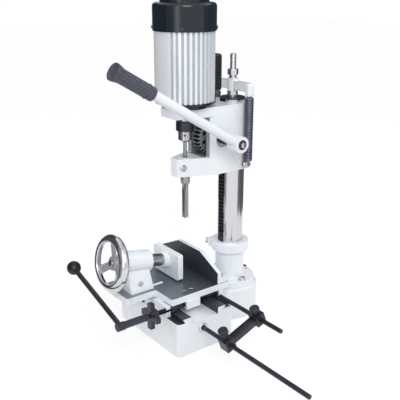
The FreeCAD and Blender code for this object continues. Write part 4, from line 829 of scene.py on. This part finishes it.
# The feed lever: an enamelled steel tube welded to a hub that is pinned on the gear's
# shaft.
arm_edge = 0.0012
shaft_end = Vector((0.1376, 0.0865, 0.5580))
lever_foot = Vector((0.1180, 0.0865, 0.5580))
lever_turn = math.radians(30.6)
lever_way = Vector((0.0, -math.cos(lever_turn), math.sin(lever_turn)))
tube_end = 0.4140
tube_cut = 0.4000
lever_tube = softened("lever_arm", enamel, arm_edge, 3)
for vertex in lever_tube.data.vertices:
    reach = (vertex.co - lever_foot).dot(lever_way)
    if reach > tube_cut:
        vertex.co -= lever_way * (reach - tube_end)
bolt_steps = ((48, 0.0134, 0.0, 0.0022, blackened), (6, 0.0080, 0.0022, 0.0066, plated))
bolt_parts = []
for corners, radius, start, end, finish in bolt_steps:
    bpy.ops.mesh.primitive_cylinder_add(vertices=corners, radius=radius, depth=end - start)
    step = bpy.context.object
    turned = Matrix.Rotation(math.radians(90.0), 4, "Y") @ Matrix.Rotation(lever_turn, 4, "Z")
    step.data.transform(Matrix.Translation(shaft_end + Vector(((start + end) / 2.0, 0.0, 0.0))) @ turned)
    easing = step.modifiers.new("easing", "BEVEL")
    easing.width = 0.0009
    easing.segments = 2
    bpy.ops.object.modifier_apply(modifier="easing")
    step.data.materials.append(finish.material)
    bolt_parts.append(step)
bpy.ops.object.select_all(action="DESELECT")
for part in bolt_parts:
    part.select_set(True)
bpy.context.view_layer.objects.active = bolt_parts[0]
bpy.ops.object.join()
hub_bolt = bpy.context.object
hub_bolt.name = "lever_hub_bolt"
bpy.ops.object.shade_smooth_by_angle(angle=math.radians(32.0))
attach(hub_bolt, "feed_lever")

# The grip: a moulded rubber sleeve pushed on the lever's end, with ribs along it, a raised
# ring near the tube and a flared, dished end. It is as short as in the photograph.
grip_ribs = 14.0
rubber = Finish("grip_rubber_compound")
bloom = rubber.noise(55.0, 4.0)
from_foot = {0: rubber.place(), 1: tuple(lever_foot)}
off_axis = rubber.node("ShaderNodeVectorMath", {"operation": "SUBTRACT"}, from_foot)
across = (0.0, math.sin(lever_turn), math.cos(lever_turn))
sideways = (1.0, 0.0, 0.0)
dot = {"operation": "DOT_PRODUCT"}
height = rubber.node("ShaderNodeVectorMath", dot, {0: off_axis, 1: across}, "Value")
width = rubber.node("ShaderNodeVectorMath", dot, {0: off_axis, 1: sideways}, "Value")
rib = (height.maths("ARCTAN2", height, width) * grip_ribs).sine()
# The colour is lighter on the ribs and darker between them as painted shade, mixed with the rubber's
# random bloom.
bloom_and_rib_shade = bloom * 0.7 + rib * 0.15 + 0.15
rubber.surface(
    Base_Color=rubber.between(bloom_and_rib_shade, (0.026, 0.031, 0.043), (0.082, 0.095, 0.122)),
    Roughness=0.34 + bloom * 0.16,
    Normal=rubber.bump(rib, 0.40, 0.0010),
)
grip_start = 0.3080
grip_shown = 0.3110
grip_share = 0.7806
grip = softened("lever_grip", rubber, 0.0010)
for vertex in grip.data.vertices:
    reach = (vertex.co - lever_foot).dot(lever_way)
    vertex.co += lever_way * (grip_shown + (reach - grip_start) * grip_share - reach)
